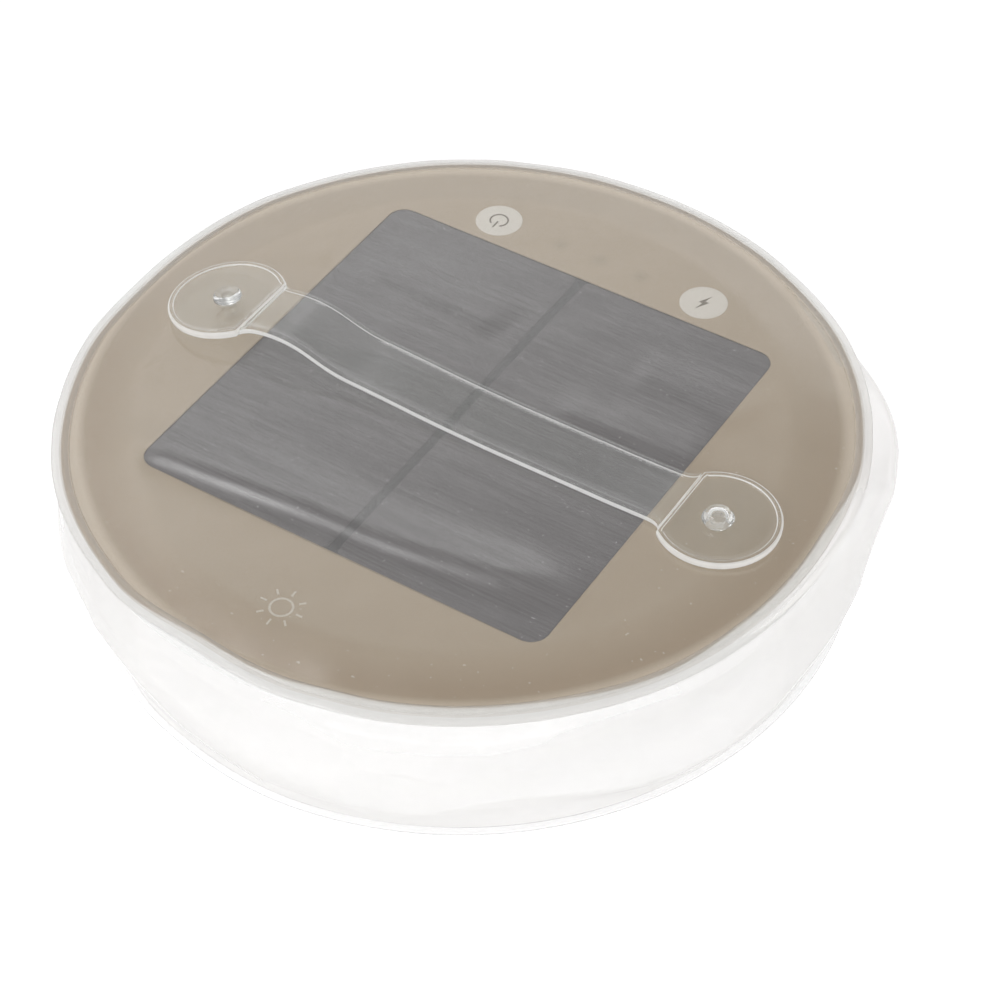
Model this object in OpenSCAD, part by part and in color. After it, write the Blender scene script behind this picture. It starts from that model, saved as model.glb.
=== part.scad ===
// Floating solar light, an inflatable lantern stored folded flat.
// Origin: centre of the underside, on the ground. +Z up, +X along the
// hanging strap towards its snap end, +Y towards the two press buttons.

/* [Air chamber] */
// Outer radius of the welded seam at the top and the bottom
seam_r = 63.5; // [62.5:0.5:65]
// Height of the top seam with the chamber folded flat
rim_z = 25.2; // [25.2:0.1:26]
// Thickness of the clear film sheets
film_t = 0.3; // [0.2:0.05:0.3]
// Thickness of the bottom sheet
base_t = 0.5; // [0.4:0.05:0.5]
// Widest radius of the folded side wall
fold_r = 66; // [65:0.5:68]

/* [Solar window] */
// Width of the solar window along the strap
pv_x = 72.4; // [70:0.1:72.4]
// Width of the solar window across the strap
pv_y = 72.7; // [70:0.1:72.7]
// Corner radius of the solar window
pv_r = 3; // [2:0.5:3]
// Gap between the two cells
cell_gap = 1.2; // [0.8:0.1:2]
// Height of the top of the solar window
pv_z = 26.15; // [26.1:0.05:26.2]

/* [Housing] */
// Outer radius of the lamp housing
case_r = 52.5; // [52.5:0.5:53.5]
// Wall thickness of the lamp housing
case_t = 1.5; // [1.2:0.1:1.5]
// Height of the split between the housing and the lens cover
split_z = 17.7; // [17.5:0.1:17.8]
// Height of the underside of the lens cover
lens_z = 13; // [13:0.1:13.4]
// Radius of the circle of screws
screw_pcr = 42; // [41:0.5:42]

/* [Buttons] */
// Radius of each press button
btn_r = 4.1; // [3.8:0.1:4.2]
// Distance of each button from the centre line, across the row
btn_x = 19.67; // [18:0.1:20]
// Distance of the button row from the centre
btn_y = 41.88; // [41.8:0.1:42.2]
// Spacing of the charge level lights
pip_pitch = 7.6; // [6:0.1:8]

/* [Strap] */
// Width of the strap
strap_w = 11.3; // [10:0.1:12]
// Thickness of the strap
strap_t = 1.0; // [0.8:0.1:1.0]
// Radius of the round end tabs
tab_r = 9.8; // [9:0.1:10]
// Position of the fixed rivet along the strap
rivet_x = -44.3; // [-45:0.1:-44]
// Position of the snap stud along the strap
stud_x = 46; // [45.5:0.1:46.2]
// Sideways offset of the strap's centre line
strap_y = -1; // [-1.5:0.1:0]
// Tilt of the fixed tab, in degrees
tab_tilt = 8.6; // [8:0.1:8.6]

/* [Lights] */
// Number of lamp LEDs
led_n = 10; // [6:1:10]
// Radius of the circle of lamp LEDs
led_pcr = 30; // [28:0.5:32]

/* [Valve] */
// Distance of the valve from the centre
valve_y = 22; // [20:0.5:24]
// Bore radius of the valve stem
valve_bore = 3.9; // [3.6:0.1:3.9]

/* [Hidden] */
$fn = 96;
e = 0.01;

sheet_z = pv_z;                    // underside of the top sheet over the window
sheet_top = sheet_z + film_t;      // upper face of the top sheet
strap_z = sheet_top + 0.15;        // underside of the strap where it lies flat
plate_z = 23.4;                    // ceiling inside the housing
board_z = split_z - 0.1;           // underside of the circuit board
board_t = 1.2;
board_top = board_z + board_t;
crease_l = -37.45;                 // hinge crease at the fixed tab
crease_r = 39.5;                   // hinge crease at the snap tab
tab_left = rivet_x - tab_r;        // far edge of the fixed tab
valve_lip = 5.4;                   // bore of the valve seat's retaining lip
valve_in = 6;                      // bore of the valve seat above the lip

// Height of the strap's underside above where it lies flat: [x, rise]
strap_rise = [[-37.4, 2.6], [-36, 3.05], [-34, 3.55], [-32, 3.85], [-30, 3.95],
    [-28, 3.8], [-26, 3.4], [-24, 2.75], [-22, 2.1], [-20, 1.6], [-18, 1.35],
    [-14, 1.15], [-9, 0.85], [-4, 0.5], [1, 0.25], [7, 0.05], [12, 0], [30, 0],
    [35, 0.1], [39.45, 0.3]];

// Folded side wall, from the bottom seam to the top seam: [radius, height]
fold_line = [[62.9, base_t], [64.9, 1.4], [fold_r - 0.4, 4.2], [fold_r, 7],
    [fold_r - 1, 9.6], [62.9, 12.2], [62.2, 13.4], [62.9, 14.6],
    [fold_r - 1, 17], [fold_r - 0.3, 19.4], [fold_r - 1.2, 21.8], [62.9, 24.2]];

module ring(r1, r2, z1, z2) {
    translate([0, 0, z1]) difference() {
        cylinder(r = r2, h = z2 - z1);
        translate([0, 0, -1]) cylinder(r = r1, h = z2 - z1 + 2);
    }
}

module disc(r, z1, z2) {
    translate([0, 0, z1]) cylinder(r = r, h = z2 - z1);
}

module at_buttons() {
    for (s = [-1, 1]) translate([s * btn_x, btn_y, 0]) children();
}

module at_screws() {
    for (a = [45, 135, 225, 315])
        rotate([0, 0, a]) translate([screw_pcr, 0, 0]) children();
}

module at_pips() {
    for (i = [-1, 0, 1]) translate([i * pip_pitch, 42, 0]) children();
}

// Square with round corners, drawn with true arcs
module rounded(x, y, r) {
    square([x - 2 * r, y], center = true);
    square([x, y - 2 * r], center = true);
    for (i = [-1, 1], j = [-1, 1])
        translate([i * (x / 2 - r), j * (y / 2 - r)]) circle(r = r, $fn = 48);
}

// ---- air chamber ----

module bottom_sheet() {
    color([0.93, 0.94, 0.96, 0.5]) difference() {
        disc(seam_r, 0, base_t);
        translate([0, -valve_y, 0]) disc(7.2, -1, base_t + 1);
    }
}

module side_wall() {
    inner = [for (i = [len(fold_line) - 1 : -1 : 0])
        [fold_line[i][0] - 0.35, fold_line[i][1]]];
    color([0.95, 0.96, 0.98, 0.4])
        rotate_extrude() polygon(concat(fold_line, inner));
}

module valve_seat() {
    color([0.9, 0.92, 0.93]) translate([0, -valve_y, 0]) {
        rotate_extrude() polygon([[valve_lip, 0.2], [7.1, 0.2], [7.1, base_t],
            [11, base_t], [11, 1.1], [7, 1.5], [7, 7.6], [valve_in, 7.6],
            [valve_in, 1.3], [valve_lip, 1.3]]);
    }
}

module valve_stem() {
    color([0.86, 0.89, 0.92]) translate([0, -valve_y, 0])
        rotate_extrude() polygon([[valve_bore, 0.9], [valve_lip - 0.07, 0.9],
            [valve_lip - 0.07, 6.6], [valve_in - 0.07, 6.6],
            [valve_in - 0.07, 7.6], [valve_bore, 7.6]]);
}

module valve_plug() {
    color([0.8, 0.84, 0.88]) translate([0, -valve_y, 0]) {
        rotate_extrude() polygon([[0, 0.2], [4.7, 0.2], [5.1, 0.45], [5.1, 0.8],
            [valve_bore - 0.07, 0.8], [valve_bore - 0.07, 3.8],
            [valve_bore - 0.5, 4.2], [0, 4.2]]);
    }
}

module valve_flap() {
    color([0.75, 0.78, 0.8]) translate([0, -valve_y, 0]) {
        disc(4.5, 7.7, 8.1);
        translate([-1.6, -4.55, 7.7]) cube([3.2, 1.2, 0.4]);
    }
}

// ---- sheets over and under the lamp ----

module top_sheet() {
    color([0.97, 0.97, 0.96, 0.35]) difference() {
        rotate_extrude() polygon([[0, sheet_z], [53.8, sheet_z],
            [58, rim_z + 0.2], [61, rim_z - film_t], [seam_r, rim_z - film_t],
            [seam_r, rim_z], [61, rim_z], [58, rim_z + 0.2 + film_t],
            [53.8, sheet_top], [0, sheet_top]]);
        at_buttons() disc(btn_r + 0.25, rim_z - 1, sheet_top + 1);
        translate([stud_x, strap_y, 0]) disc(1.15, rim_z - 1, sheet_top + 1);
        translate([rivet_x, strap_y, 0]) disc(1.35, rim_z - 1, sheet_top + 1);
    }
}

module graphic_disc() {
    color([0.64, 0.6, 0.53]) difference() {
        rotate_extrude() polygon([[0, sheet_z - 0.27], [53.6, sheet_z - 0.27],
            [57.8, rim_z - 0.07], [60.3, rim_z - 0.36], [60.7, rim_z - 0.29],
            [57.9, rim_z + 0.17], [53.7, sheet_z - 0.02], [0, sheet_z - 0.02]]);
        translate([0, 0, sheet_z - 1]) linear_extrude(2)
            rounded(pv_x + 0.1, pv_y + 0.1, pv_r);
        at_buttons() disc(btn_r + 0.25, 20, 30);
        translate([stud_x, strap_y, 0]) disc(1.2, 20, 30);
        translate([rivet_x, strap_y, 0]) disc(1.35, 20, 30);
        at_pips() disc(0.95, 20, 30);
    }
}

module pocket_sheet() {
    color([0.95, 0.96, 0.97, 0.4]) rotate_extrude()
        polygon([[0, lens_z - 0.5], [46.3, lens_z - 0.5],
            [case_r + 0.55, split_z - 0.75], [case_r + 0.55, rim_z - 1.3],
            [61, rim_z - 0.65], [seam_r - 0.1, rim_z - 0.65],
            [seam_r - 0.1, rim_z - film_t - 0.05],
            [60.9, rim_z - film_t - 0.05], [case_r + 0.25, rim_z - 1],
            [case_r + 0.25, split_z - 0.65], [46.15, lens_z - 0.2],
            [0, lens_z - 0.2]]);
}

// ---- solar panel ----

module solar_cover() {
    color([0.42, 0.41, 0.42, 0.6]) translate([0, 0, pv_z - 0.3])
        linear_extrude(0.28) rounded(pv_x, pv_y, pv_r);
}

module solar_cells() {
    w = (pv_x - 1.2 - cell_gap) / 2;
    color([0.2, 0.2, 0.22]) for (s = [-1, 1])
        translate([s * (cell_gap + w) / 2, 0, pv_z - 0.55])
            linear_extrude(0.23) rounded(w, pv_y - 1.2, pv_r - 0.6);
}

// Flat tinned ribbons that join the two cells, below them
module cell_ribbons() {
    color([0.75, 0.75, 0.76]) for (y = [-24, 0, 24])
        translate([-32, y - 0.75, pv_z - 0.65]) cube([64, 1.5, 0.08]);
}

module solar_board() {
    color([0.12, 0.13, 0.14]) difference() {
        translate([0, 0, pv_z - 1.55]) linear_extrude(0.88)
            rounded(pv_x + 1, pv_y + 0.7, pv_r);
        for (s = [-1, 1]) translate([3 * s, -30.5, 0]) disc(0.7, 20, 30);
    }
}

// ---- lamp housing ----

module upper_housing() {
    color([0.88, 0.88, 0.87]) {
        difference() {
            disc(case_r, split_z + 0.5, pv_z - 0.35);
            disc(case_r - case_t, 10, plate_z);
            translate([0, 0, pv_z - 1.57]) linear_extrude(3)
                rounded(pv_x + 1.3, pv_y + 1, pv_r + 0.1);
            at_buttons() disc(btn_r + 0.3, 24.7, 30);
            at_buttons() disc(1.56, 20, 30);
            at_pips() disc(0.95, 20, 30);
            translate([stud_x, strap_y, 0]) disc(1.05, 20, 30);
            translate([rivet_x, strap_y, 0]) disc(1.3, 20, 30);
            for (s = [-1, 1]) translate([3 * s, -30.5, 0]) disc(0.8, 20, 30);
        }
        at_screws() ring(1.3, 3.4, board_top, plate_z + e);
    }
}

module lens_cover() {
    color([0.95, 0.95, 0.94, 0.7]) {
        difference() {
            rotate_extrude() polygon([[0, lens_z], [46, lens_z],
                [case_r, split_z - 0.5], [case_r, split_z],
                [case_r - case_t, split_z], [case_r - case_t, split_z - 0.8],
                [45, lens_z + 1.4], [0, lens_z + 1.4]]);
            at_screws() disc(1.4, 10, 20);
            at_screws() disc(2.6, 10, lens_z + 1.1);
        }
        at_screws() ring(1.4, 3.6, lens_z + 1.35, board_z);
        // feet that carry the rim of the circuit board
        for (a = [0 : 30 : 330]) rotate([0, 0, a])
            translate([47.6, -1.5, board_z - 2.4]) cube([1.6, 3, 2.4]);
    }
}

module gasket() {
    color([0.25, 0.26, 0.27]) ring(case_r - case_t + 0.2, case_r - 0.2,
        split_z, split_z + 0.5);
}

module reflector() {
    color([0.97, 0.97, 0.97]) {
        difference() {
            disc(43.8, 15.2, 16.8);
            at_screws() disc(3.9, 10, 20);
            for (i = [0 : led_n - 1]) rotate([0, 0, 18 + 360 / led_n * i])
                translate([led_pcr, 0, 15.1])
                    cylinder(r1 = 3.5, r2 = 2.2, h = 1.8);
        }
        for (a = [0 : 90 : 270]) rotate([0, 0, a]) translate([18, 0, 0])
            disc(1.2, 16.8 - e, board_z);
    }
}

module circuit_board() {
    color([0.1, 0.35, 0.2]) difference() {
        disc(49.5, board_z, board_top);
        at_screws() disc(1.5, 10, 30);
    }
}

module lamp_leds() {
    color([0.98, 0.92, 0.55]) for (i = [0 : led_n - 1])
        rotate([0, 0, 18 + 360 / led_n * i])
            translate([led_pcr - 1.75, -1.4, board_z - 0.7])
                cube([3.5, 2.8, 0.7]);
}

module level_leds() {
    color([0.9, 0.35, 0.3]) at_pips()
        translate([-0.8, -0.4, board_top]) cube([1.6, 0.8, 0.7]);
}

module level_light_pipes() {
    color([0.85, 0.86, 0.88, 0.6]) at_pips()
        disc(0.88, board_top + 0.9, sheet_z - 0.05);
}

module board_chips() {
    color([0.08, 0.08, 0.09]) {
        translate([-15, 26, board_top]) cube([6, 5, 1.4]);
        translate([2, 30, board_top]) cube([4, 3, 1]);
        translate([12, 24, board_top]) cube([3.2, 2.6, 1.1]);
        translate([-24, -30, board_top]) cube([5, 6, 1.6]);
        translate([14, -32, board_top]) cube([3.2, 1.6, 1.2]);
        translate([20, -32, board_top]) cube([3.2, 1.6, 1.2]);
    }
}

module inductor() {
    color([0.3, 0.3, 0.32]) translate([0, 23.5, 0]) {
        disc(3, board_top, board_top + 0.7);
        disc(2.1, board_top + 0.6, board_top + 2.2);
        disc(3, board_top + 2.1, board_top + 2.8);
    }
}

// ---- battery and wiring ----

module battery() {
    color([0.62, 0.66, 0.7]) translate([0, 0, board_top + 0.5])
        linear_extrude(3.8) rounded(58, 36, 2.5);
}

module battery_pad() {
    color([0.2, 0.2, 0.2]) translate([-25, -15, board_top])
        cube([50, 30, 0.5]);
}

module battery_wires() {
    color([0.75, 0.1, 0.1]) for (s = [-1, 1])
        translate([29, 1.3 * s, board_top + 2.2]) rotate([0, 90, 0])
            cylinder(r = 0.55, h = 5, $fn = 24);
}

module battery_connector() {
    color([0.93, 0.92, 0.88]) translate([34, -4, board_top])
        cube([5.5, 8, 3.9]);
}

module solar_wires() {
    color([0.15, 0.15, 0.15]) for (s = [-1, 1])
        translate([3 * s, -30.5, board_top])
            cylinder(r = 0.5, h = pv_z - 1.55 - board_top, $fn = 24);
}

module switch_body() {
    translate([-3, -3, board_top]) cube([6, 6, 1.9]);
    disc(1.6, board_top + 1.8, 21.5);
}

module power_switch() {
    color([0.2, 0.2, 0.22]) translate([-btn_x, btn_y, 0])
        rotate([0, 0, atan2(btn_y, -btn_x)]) switch_body();
}

module level_switch() {
    color([0.2, 0.2, 0.22]) translate([btn_x, btn_y, 0])
        rotate([0, 0, atan2(btn_y, btn_x)]) switch_body();
}

// Round press pad with its push rod
module press_button() {
    rotate_extrude() polygon([[0, 22], [1.3, 22], [1.5, 22.2], [1.5, 25.3],
        [btn_r, 25.3], [btn_r, sheet_top - 0.05], [btn_r - 0.15, sheet_top],
        [0, sheet_top]]);
}

module power_button() {
    color([0.8, 0.78, 0.74]) translate([-btn_x, btn_y, 0]) press_button();
}

module level_button() {
    color([0.8, 0.78, 0.74]) translate([btn_x, btn_y, 0]) press_button();
}

module screws() {
    color([0.7, 0.71, 0.73]) at_screws() difference() {
        union() {
            disc(2.3, lens_z, lens_z + 1.1);
            disc(1.2, lens_z + 1, 23);
        }
        // cross recess
        for (a = [0, 90]) rotate([0, 0, a])
            translate([-1.3, -0.25, lens_z - 1]) cube([2.6, 0.5, 1.6]);
    }
}

// ---- hanging strap ----

// Outline of a round tab cut straight along its crease
module tab_outline(r, chord) {
    intersection() {
        circle(r = r);
        translate([-r - 1, -r - 1]) square([r + 1 + chord, 2 * r + 2]);
    }
}

// Flat tab with a raised bead along its round edge
module tab_body(chord) {
    linear_extrude(strap_t) tab_outline(tab_r, chord);
    translate([0, 0, strap_t - e]) linear_extrude(0.3 + e) difference() {
        tab_outline(tab_r - 0.1, chord - 1.2);
        circle(r = tab_r - 0.9);
    }
}

module strap_left_tab() {
    color([0.9, 0.93, 0.92, 0.5]) difference() {
        translate([tab_left, strap_y, strap_z]) rotate([0, -tab_tilt, 0])
            translate([tab_r, 0, 0]) tab_body(crease_l - rivet_x + 0.1);
        translate([rivet_x, strap_y, 0]) disc(1.3, 20, 40);
    }
}

module strap_rivet() {
    color([0.9, 0.93, 0.92, 0.7]) {
        // post through the top sheet with its washer inside the housing
        translate([rivet_x, strap_y, 0]) disc(1.25, plate_z - 0.6, strap_z + 2);
        translate([rivet_x, strap_y, 0]) disc(3, plate_z - 0.6, plate_z);
        // hollow head on the tab
        translate([rivet_x - 0.1, strap_y, strap_z + 1.47 + strap_t])
            rotate([0, -tab_tilt, 0]) rotate_extrude()
                polygon([[0, -0.7], [1.2, -0.7], [1.2, 0.05], [2.2, 0.05],
                    [2.15, 0.45], [1.8, 0.85], [1.3, 1.0], [0.9, 0.85],
                    [0.6, 0.35], [0, 0.25]]);
    }
}

// Strap between its two creases: the side view cut by the plan view
module strap() {
    n = len(strap_rise);
    top = [for (p = strap_rise) [p[0], p[1] + strap_t]];
    under = [for (i = [n - 1 : -1 : 0]) strap_rise[i]];
    h = strap_w / 2;
    color([0.9, 0.93, 0.92, 0.5]) intersection() {
        translate([0, strap_y + 20, strap_z]) rotate([90, 0, 0])
            linear_extrude(40) polygon(concat(top, under));
        translate([0, strap_y, 20]) linear_extrude(20)
            polygon([[crease_l, -7], [crease_l + 0.5, -6.6],
                [crease_l + 1.1, -h - 0.3], [crease_l + 2, -h],
                [crease_r - 2, -h], [crease_r - 1.1, -h - 0.3],
                [crease_r - 0.5, -6.6], [crease_r, -7], [crease_r, 7],
                [crease_r - 0.5, 6.6], [crease_r - 1.1, h + 0.3],
                [crease_r - 2, h], [crease_l + 2, h], [crease_l + 1.1, h + 0.3],
                [crease_l + 0.5, 6.6], [crease_l, 7]]);
    }
}

module strap_right_tab() {
    color([0.9, 0.93, 0.92, 0.5]) difference() {
        translate([stud_x, strap_y, strap_z]) {
            rotate([0, 0, 180]) tab_body(stud_x - crease_r - 0.05);
            translate([0, 0, strap_t - e]) rotate_extrude()
                polygon([[0, 0], [2.3, 0], [2.25, 0.45], [2.0, 0.8],
                    [1.5, 1.08], [0.9, 1.2], [0, 1.22]]);
        }
        // socket that snaps over the stud
        translate([stud_x, strap_y, strap_z - 1])
            cylinder(r = 1.5, h = 1 + 1.55);
    }
}

module snap_stud() {
    color([0.9, 0.93, 0.92, 0.7]) translate([stud_x, strap_y, 0])
        rotate_extrude() polygon([[0, plate_z - 0.6], [3, plate_z - 0.6],
            [3, plate_z], [1, plate_z], [1, 27.2], [1.25, 27.4], [1.25, 27.65],
            [1, 27.85], [0, 27.85]]);
}

bottom_sheet();
side_wall();
valve_seat();
valve_stem();
valve_plug();
valve_flap();
top_sheet();
graphic_disc();
pocket_sheet();
solar_cover();
solar_cells();
cell_ribbons();
solar_board();
upper_housing();
lens_cover();
gasket();
reflector();
circuit_board();
lamp_leds();
level_leds();
level_light_pipes();
board_chips();
inductor();
battery();
battery_pad();
battery_wires();
battery_connector();
solar_wires();
power_switch();
level_switch();
power_button();
level_button();
screws();
strap_left_tab();
strap_rivet();
strap();
strap_right_tab();
snap_stud();
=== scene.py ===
"""Floating solar light: an inflatable lantern folded flat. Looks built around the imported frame."""
import math
import bpy, bmesh
import numpy as np
from mathutils import Matrix, Vector


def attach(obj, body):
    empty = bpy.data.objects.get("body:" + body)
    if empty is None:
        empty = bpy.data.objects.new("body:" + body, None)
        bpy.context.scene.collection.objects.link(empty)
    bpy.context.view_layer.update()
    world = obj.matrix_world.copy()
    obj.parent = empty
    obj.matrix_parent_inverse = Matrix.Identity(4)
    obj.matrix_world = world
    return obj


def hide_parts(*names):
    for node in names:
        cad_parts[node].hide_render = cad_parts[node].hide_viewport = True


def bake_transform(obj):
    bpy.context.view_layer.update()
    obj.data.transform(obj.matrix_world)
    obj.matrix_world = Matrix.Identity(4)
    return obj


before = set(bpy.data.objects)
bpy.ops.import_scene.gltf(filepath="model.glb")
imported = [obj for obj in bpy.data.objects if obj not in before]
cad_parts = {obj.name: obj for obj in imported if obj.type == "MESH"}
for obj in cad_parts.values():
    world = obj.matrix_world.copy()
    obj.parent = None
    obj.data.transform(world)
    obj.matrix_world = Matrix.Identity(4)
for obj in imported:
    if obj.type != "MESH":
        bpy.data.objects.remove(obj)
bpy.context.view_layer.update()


MM = 0.001
RIM_Z = 25.2          # top seam plane, mm
FILM_Z = 26.5         # top face of the top film over the lamp
PRINT_Z = 26.18       # top face of the print
PI = math.pi

# ------------------------------------------------------------------ camera
AZ, EL, DIST, FPX, TX, TY = 32.21, 45.32, 422.78, 2700.0, 5.82, -13.68
_a, _e = math.radians(AZ), math.radians(EL)
back = Vector((math.sin(_a) * math.cos(_e), -math.cos(_a) * math.cos(_e), math.sin(_e)))
right = Vector((math.cos(_a), math.sin(_a), 0.0))
up = back.cross(right)
target = Vector((0, 0, RIM_Z)) + right * TX + up * TY
cam_data = bpy.data.cameras.new("camera")
cam_data.sensor_fit = "HORIZONTAL"
cam_data.sensor_width = 36.0
cam_data.lens = FPX / 1000.0 * 36.0
cam_data.clip_start = 0.01
cam_data.clip_end = 50.0
cam = bpy.data.objects.new("camera", cam_data)
bpy.context.scene.collection.objects.link(cam)
cam.matrix_world = Matrix((
    (right.x, up.x, back.x, (target.x + back.x * DIST) * MM),
    (right.y, up.y, back.y, (target.y + back.y * DIST) * MM),
    (right.z, up.z, back.z, (target.z + back.z * DIST) * MM),
    (0, 0, 0, 1)))
bpy.context.scene.camera = cam


# ------------------------------------------------------------------ noise
def _hash(ix, iy, iz, seed):
    h = (ix.astype(np.int64) * 374761393 + iy.astype(np.int64) * 668265263
         + iz.astype(np.int64) * 2147483647 + seed * 1274126177) & 0xFFFFFFFF
    h = ((h ^ (h >> 13)) * 1103515245) & 0xFFFFFFFF
    h = ((h ^ (h >> 16)) * 2246822519) & 0xFFFFFFFF
    return ((h ^ (h >> 15)) & 0xFFFFFF) / float(0xFFFFFF) * 2 - 1


def vnoise(x, y, z, seed=0):
    """Smooth value noise from -1 to 1, on a unit lattice."""
    x, y, z = np.broadcast_arrays(np.asarray(x, float), np.asarray(y, float), np.asarray(z, float))
    ix, iy, iz = np.floor(x), np.floor(y), np.floor(z)
    fx, fy, fz = x - ix, y - iy, z - iz
    ux, uy, uz = (f * f * f * (f * (f * 6 - 15) + 10) for f in (fx, fy, fz))
    out = 0.0
    for dx in (0, 1):
        for dy in (0, 1):
            for dz in (0, 1):
                w = (ux if dx else 1 - ux) * (uy if dy else 1 - uy) * (uz if dz else 1 - uz)
                out = out + w * _hash(ix + dx, iy + dy, iz + dz, seed)
    return out


def ridged(x, y, z, seed=0):
    """Sharp-crested noise, 0 to 1, for creased film."""
    return 1 - np.abs(vnoise(x, y, z, seed))


def sstep(a, b, x):
    t = np.clip((np.asarray(x, float) - a) / (b - a), 0, 1)
    return t * t * (3 - 2 * t)


def gauss(d, s):
    return np.exp(-0.5 * (d / s) ** 2)


def wrap_deg(d):
    return (d + 180.0) % 360.0 - 180.0


def periodic(angle_deg, table):
    """Smooth periodic curve through (angle, value) pairs, angles in degrees."""
    t = sorted(table)
    a = np.array([p[0] for p in t], float)
    v = np.array([p[1] for p in t], float)
    a = np.concatenate([[a[-1] - 360], a, [a[0] + 360]])
    v = np.concatenate([[v[-1]], v, [v[0]]])
    x = wrap_deg(np.asarray(angle_deg, float))
    x = np.where(x < a[1], x, x)
    i = np.clip(np.searchsorted(a, x, side="right") - 1, 0, len(a) - 2)
    u = (x - a[i]) / (a[i + 1] - a[i])
    u = u * u * (3 - 2 * u)
    return v[i] * (1 - u) + v[i + 1] * u


# ------------------------------------------------------------------ mesh helpers
def add_mesh(name, verts_mm, faces, smooth=True, mats=None):
    me = bpy.data.meshes.new(name)
    me.from_pydata([tuple(p) for p in (np.asarray(verts_mm, float) * MM)], [], [tuple(int(i) for i in f) for f in faces])
    if mats is not None:
        me.polygons.foreach_set("material_index", np.asarray(mats, np.int32))
    me.update()
    bm = bmesh.new()
    bm.from_mesh(me)
    bmesh.ops.recalc_face_normals(bm, faces=bm.faces)
    bm.to_mesh(me)
    bm.free()
    me.update()
    if smooth:
        me.polygons.foreach_set("use_smooth", np.ones(len(me.polygons), bool))
    ob = bpy.data.objects.new(name, me)
    bpy.context.scene.collection.objects.link(ob)
    return ob


def grid_faces(nu, nv, wrap_u=False, wrap_v=False, off=0, flip=False):
    """Quads of a grid whose vertex (i, j) is number i * nv + j."""
    iu = np.arange(nu if wrap_u else nu - 1)
    iv = np.arange(nv if wrap_v else nv - 1)
    I, J = np.meshgrid(iu, iv, indexing="ij")
    I2, J2 = (I + 1) % nu, (J + 1) % nv
    f = np.stack([I * nv + J, I2 * nv + J, I2 * nv + J2, I * nv + J2], -1).reshape(-1, 4) + off
    return f[:, ::-1] if flip else f


def grid_normals(P, wrap_u=False):
    if wrap_u:
        du = np.roll(P, -1, 0) - np.roll(P, 1, 0)
    else:
        du = np.gradient(P, axis=0)
    dv = np.gradient(P, axis=1)
    n = np.cross(du, dv)
    l = np.linalg.norm(n, axis=-1, keepdims=True)
    return n / np.maximum(l, 1e-12)


def shell_from_grid(P, thick, wrap_u=True, up=False):
    """Closed thin shell: P (nu, nv, 3) and the same grid moved thick against its normal, joined along v's two ends."""
    nu, nv, _ = P.shape
    n = grid_normals(P, wrap_u)
    if up:
        n = n * np.where(n[..., 2:3] < 0, -1.0, 1.0)
    Q = P - n * thick
    verts = np.concatenate([P.reshape(-1, 3), Q.reshape(-1, 3)])
    f1 = grid_faces(nu, nv, wrap_u)
    f2 = grid_faces(nu, nv, wrap_u, off=nu * nv, flip=True)
    fs = [f1, f2]
    iu = np.arange(nu if wrap_u else nu - 1)
    i2 = (iu + 1) % nu
    o = nu * nv
    for j, fl in ((0, False), (nv - 1, True)):
        a, b = iu * nv + j, i2 * nv + j
        q = np.stack([a, a + o, b + o, b], -1) if not fl else np.stack([a, b, b + o, a + o], -1)
        fs.append(q)
    return verts, np.concatenate(fs)


def lathe(name, prof, cx=0.0, cy=0.0, n=96, tilt=None, pivot=None):
    """Closed piece turned from (r, z) points; a point at r 0 closes on the axis."""
    th = np.linspace(0, 2 * PI, n, endpoint=False)
    verts, faces, rows = [], [], []
    for r, z in prof:
        if r < 1e-6:
            rows.append([len(verts)])
            verts.append((0, 0, z))
        else:
            rows.append(list(range(len(verts), len(verts) + n)))
            verts += [(r * math.cos(t), r * math.sin(t), z) for t in th]
    for a, b in zip(rows[:-1], rows[1:]):
        for i in range(n):
            k = (i + 1) % n
            if len(a) == 1 and len(b) == 1:
                continue
            if len(a) == 1:
                faces.append((a[0], b[k], b[i]))
            elif len(b) == 1:
                faces.append((a[i], a[k], b[0]))
            else:
                faces.append((a[i], a[k], b[k], b[i]))
    v = np.array(verts, float)
    if tilt is not None:
        c, s = math.cos(tilt), math.sin(tilt)
        x, z = v[:, 0].copy(), v[:, 2].copy()
        v[:, 0], v[:, 2] = x * c - z * s, x * s + z * c
    v[:, 0] += cx
    v[:, 1] += cy
    if pivot is not None:
        v[:, 2] += pivot
    return v, faces


def join(parts):
    verts, faces, off = [], [], 0
    for v, f in parts:
        v = np.asarray(v, float)
        verts.append(v)
        faces += [tuple(int(i) + off for i in q) for q in f]
        off += len(v)
    return np.concatenate(verts), faces


def arc_pts(cx, cy, r, a0, a1, n):
    """Points of an arc in a profile, angles in degrees."""
    return [(cx + r * math.cos(math.radians(a)), cy + r * math.sin(math.radians(a)))
            for a in np.linspace(a0, a1, n)]


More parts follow.
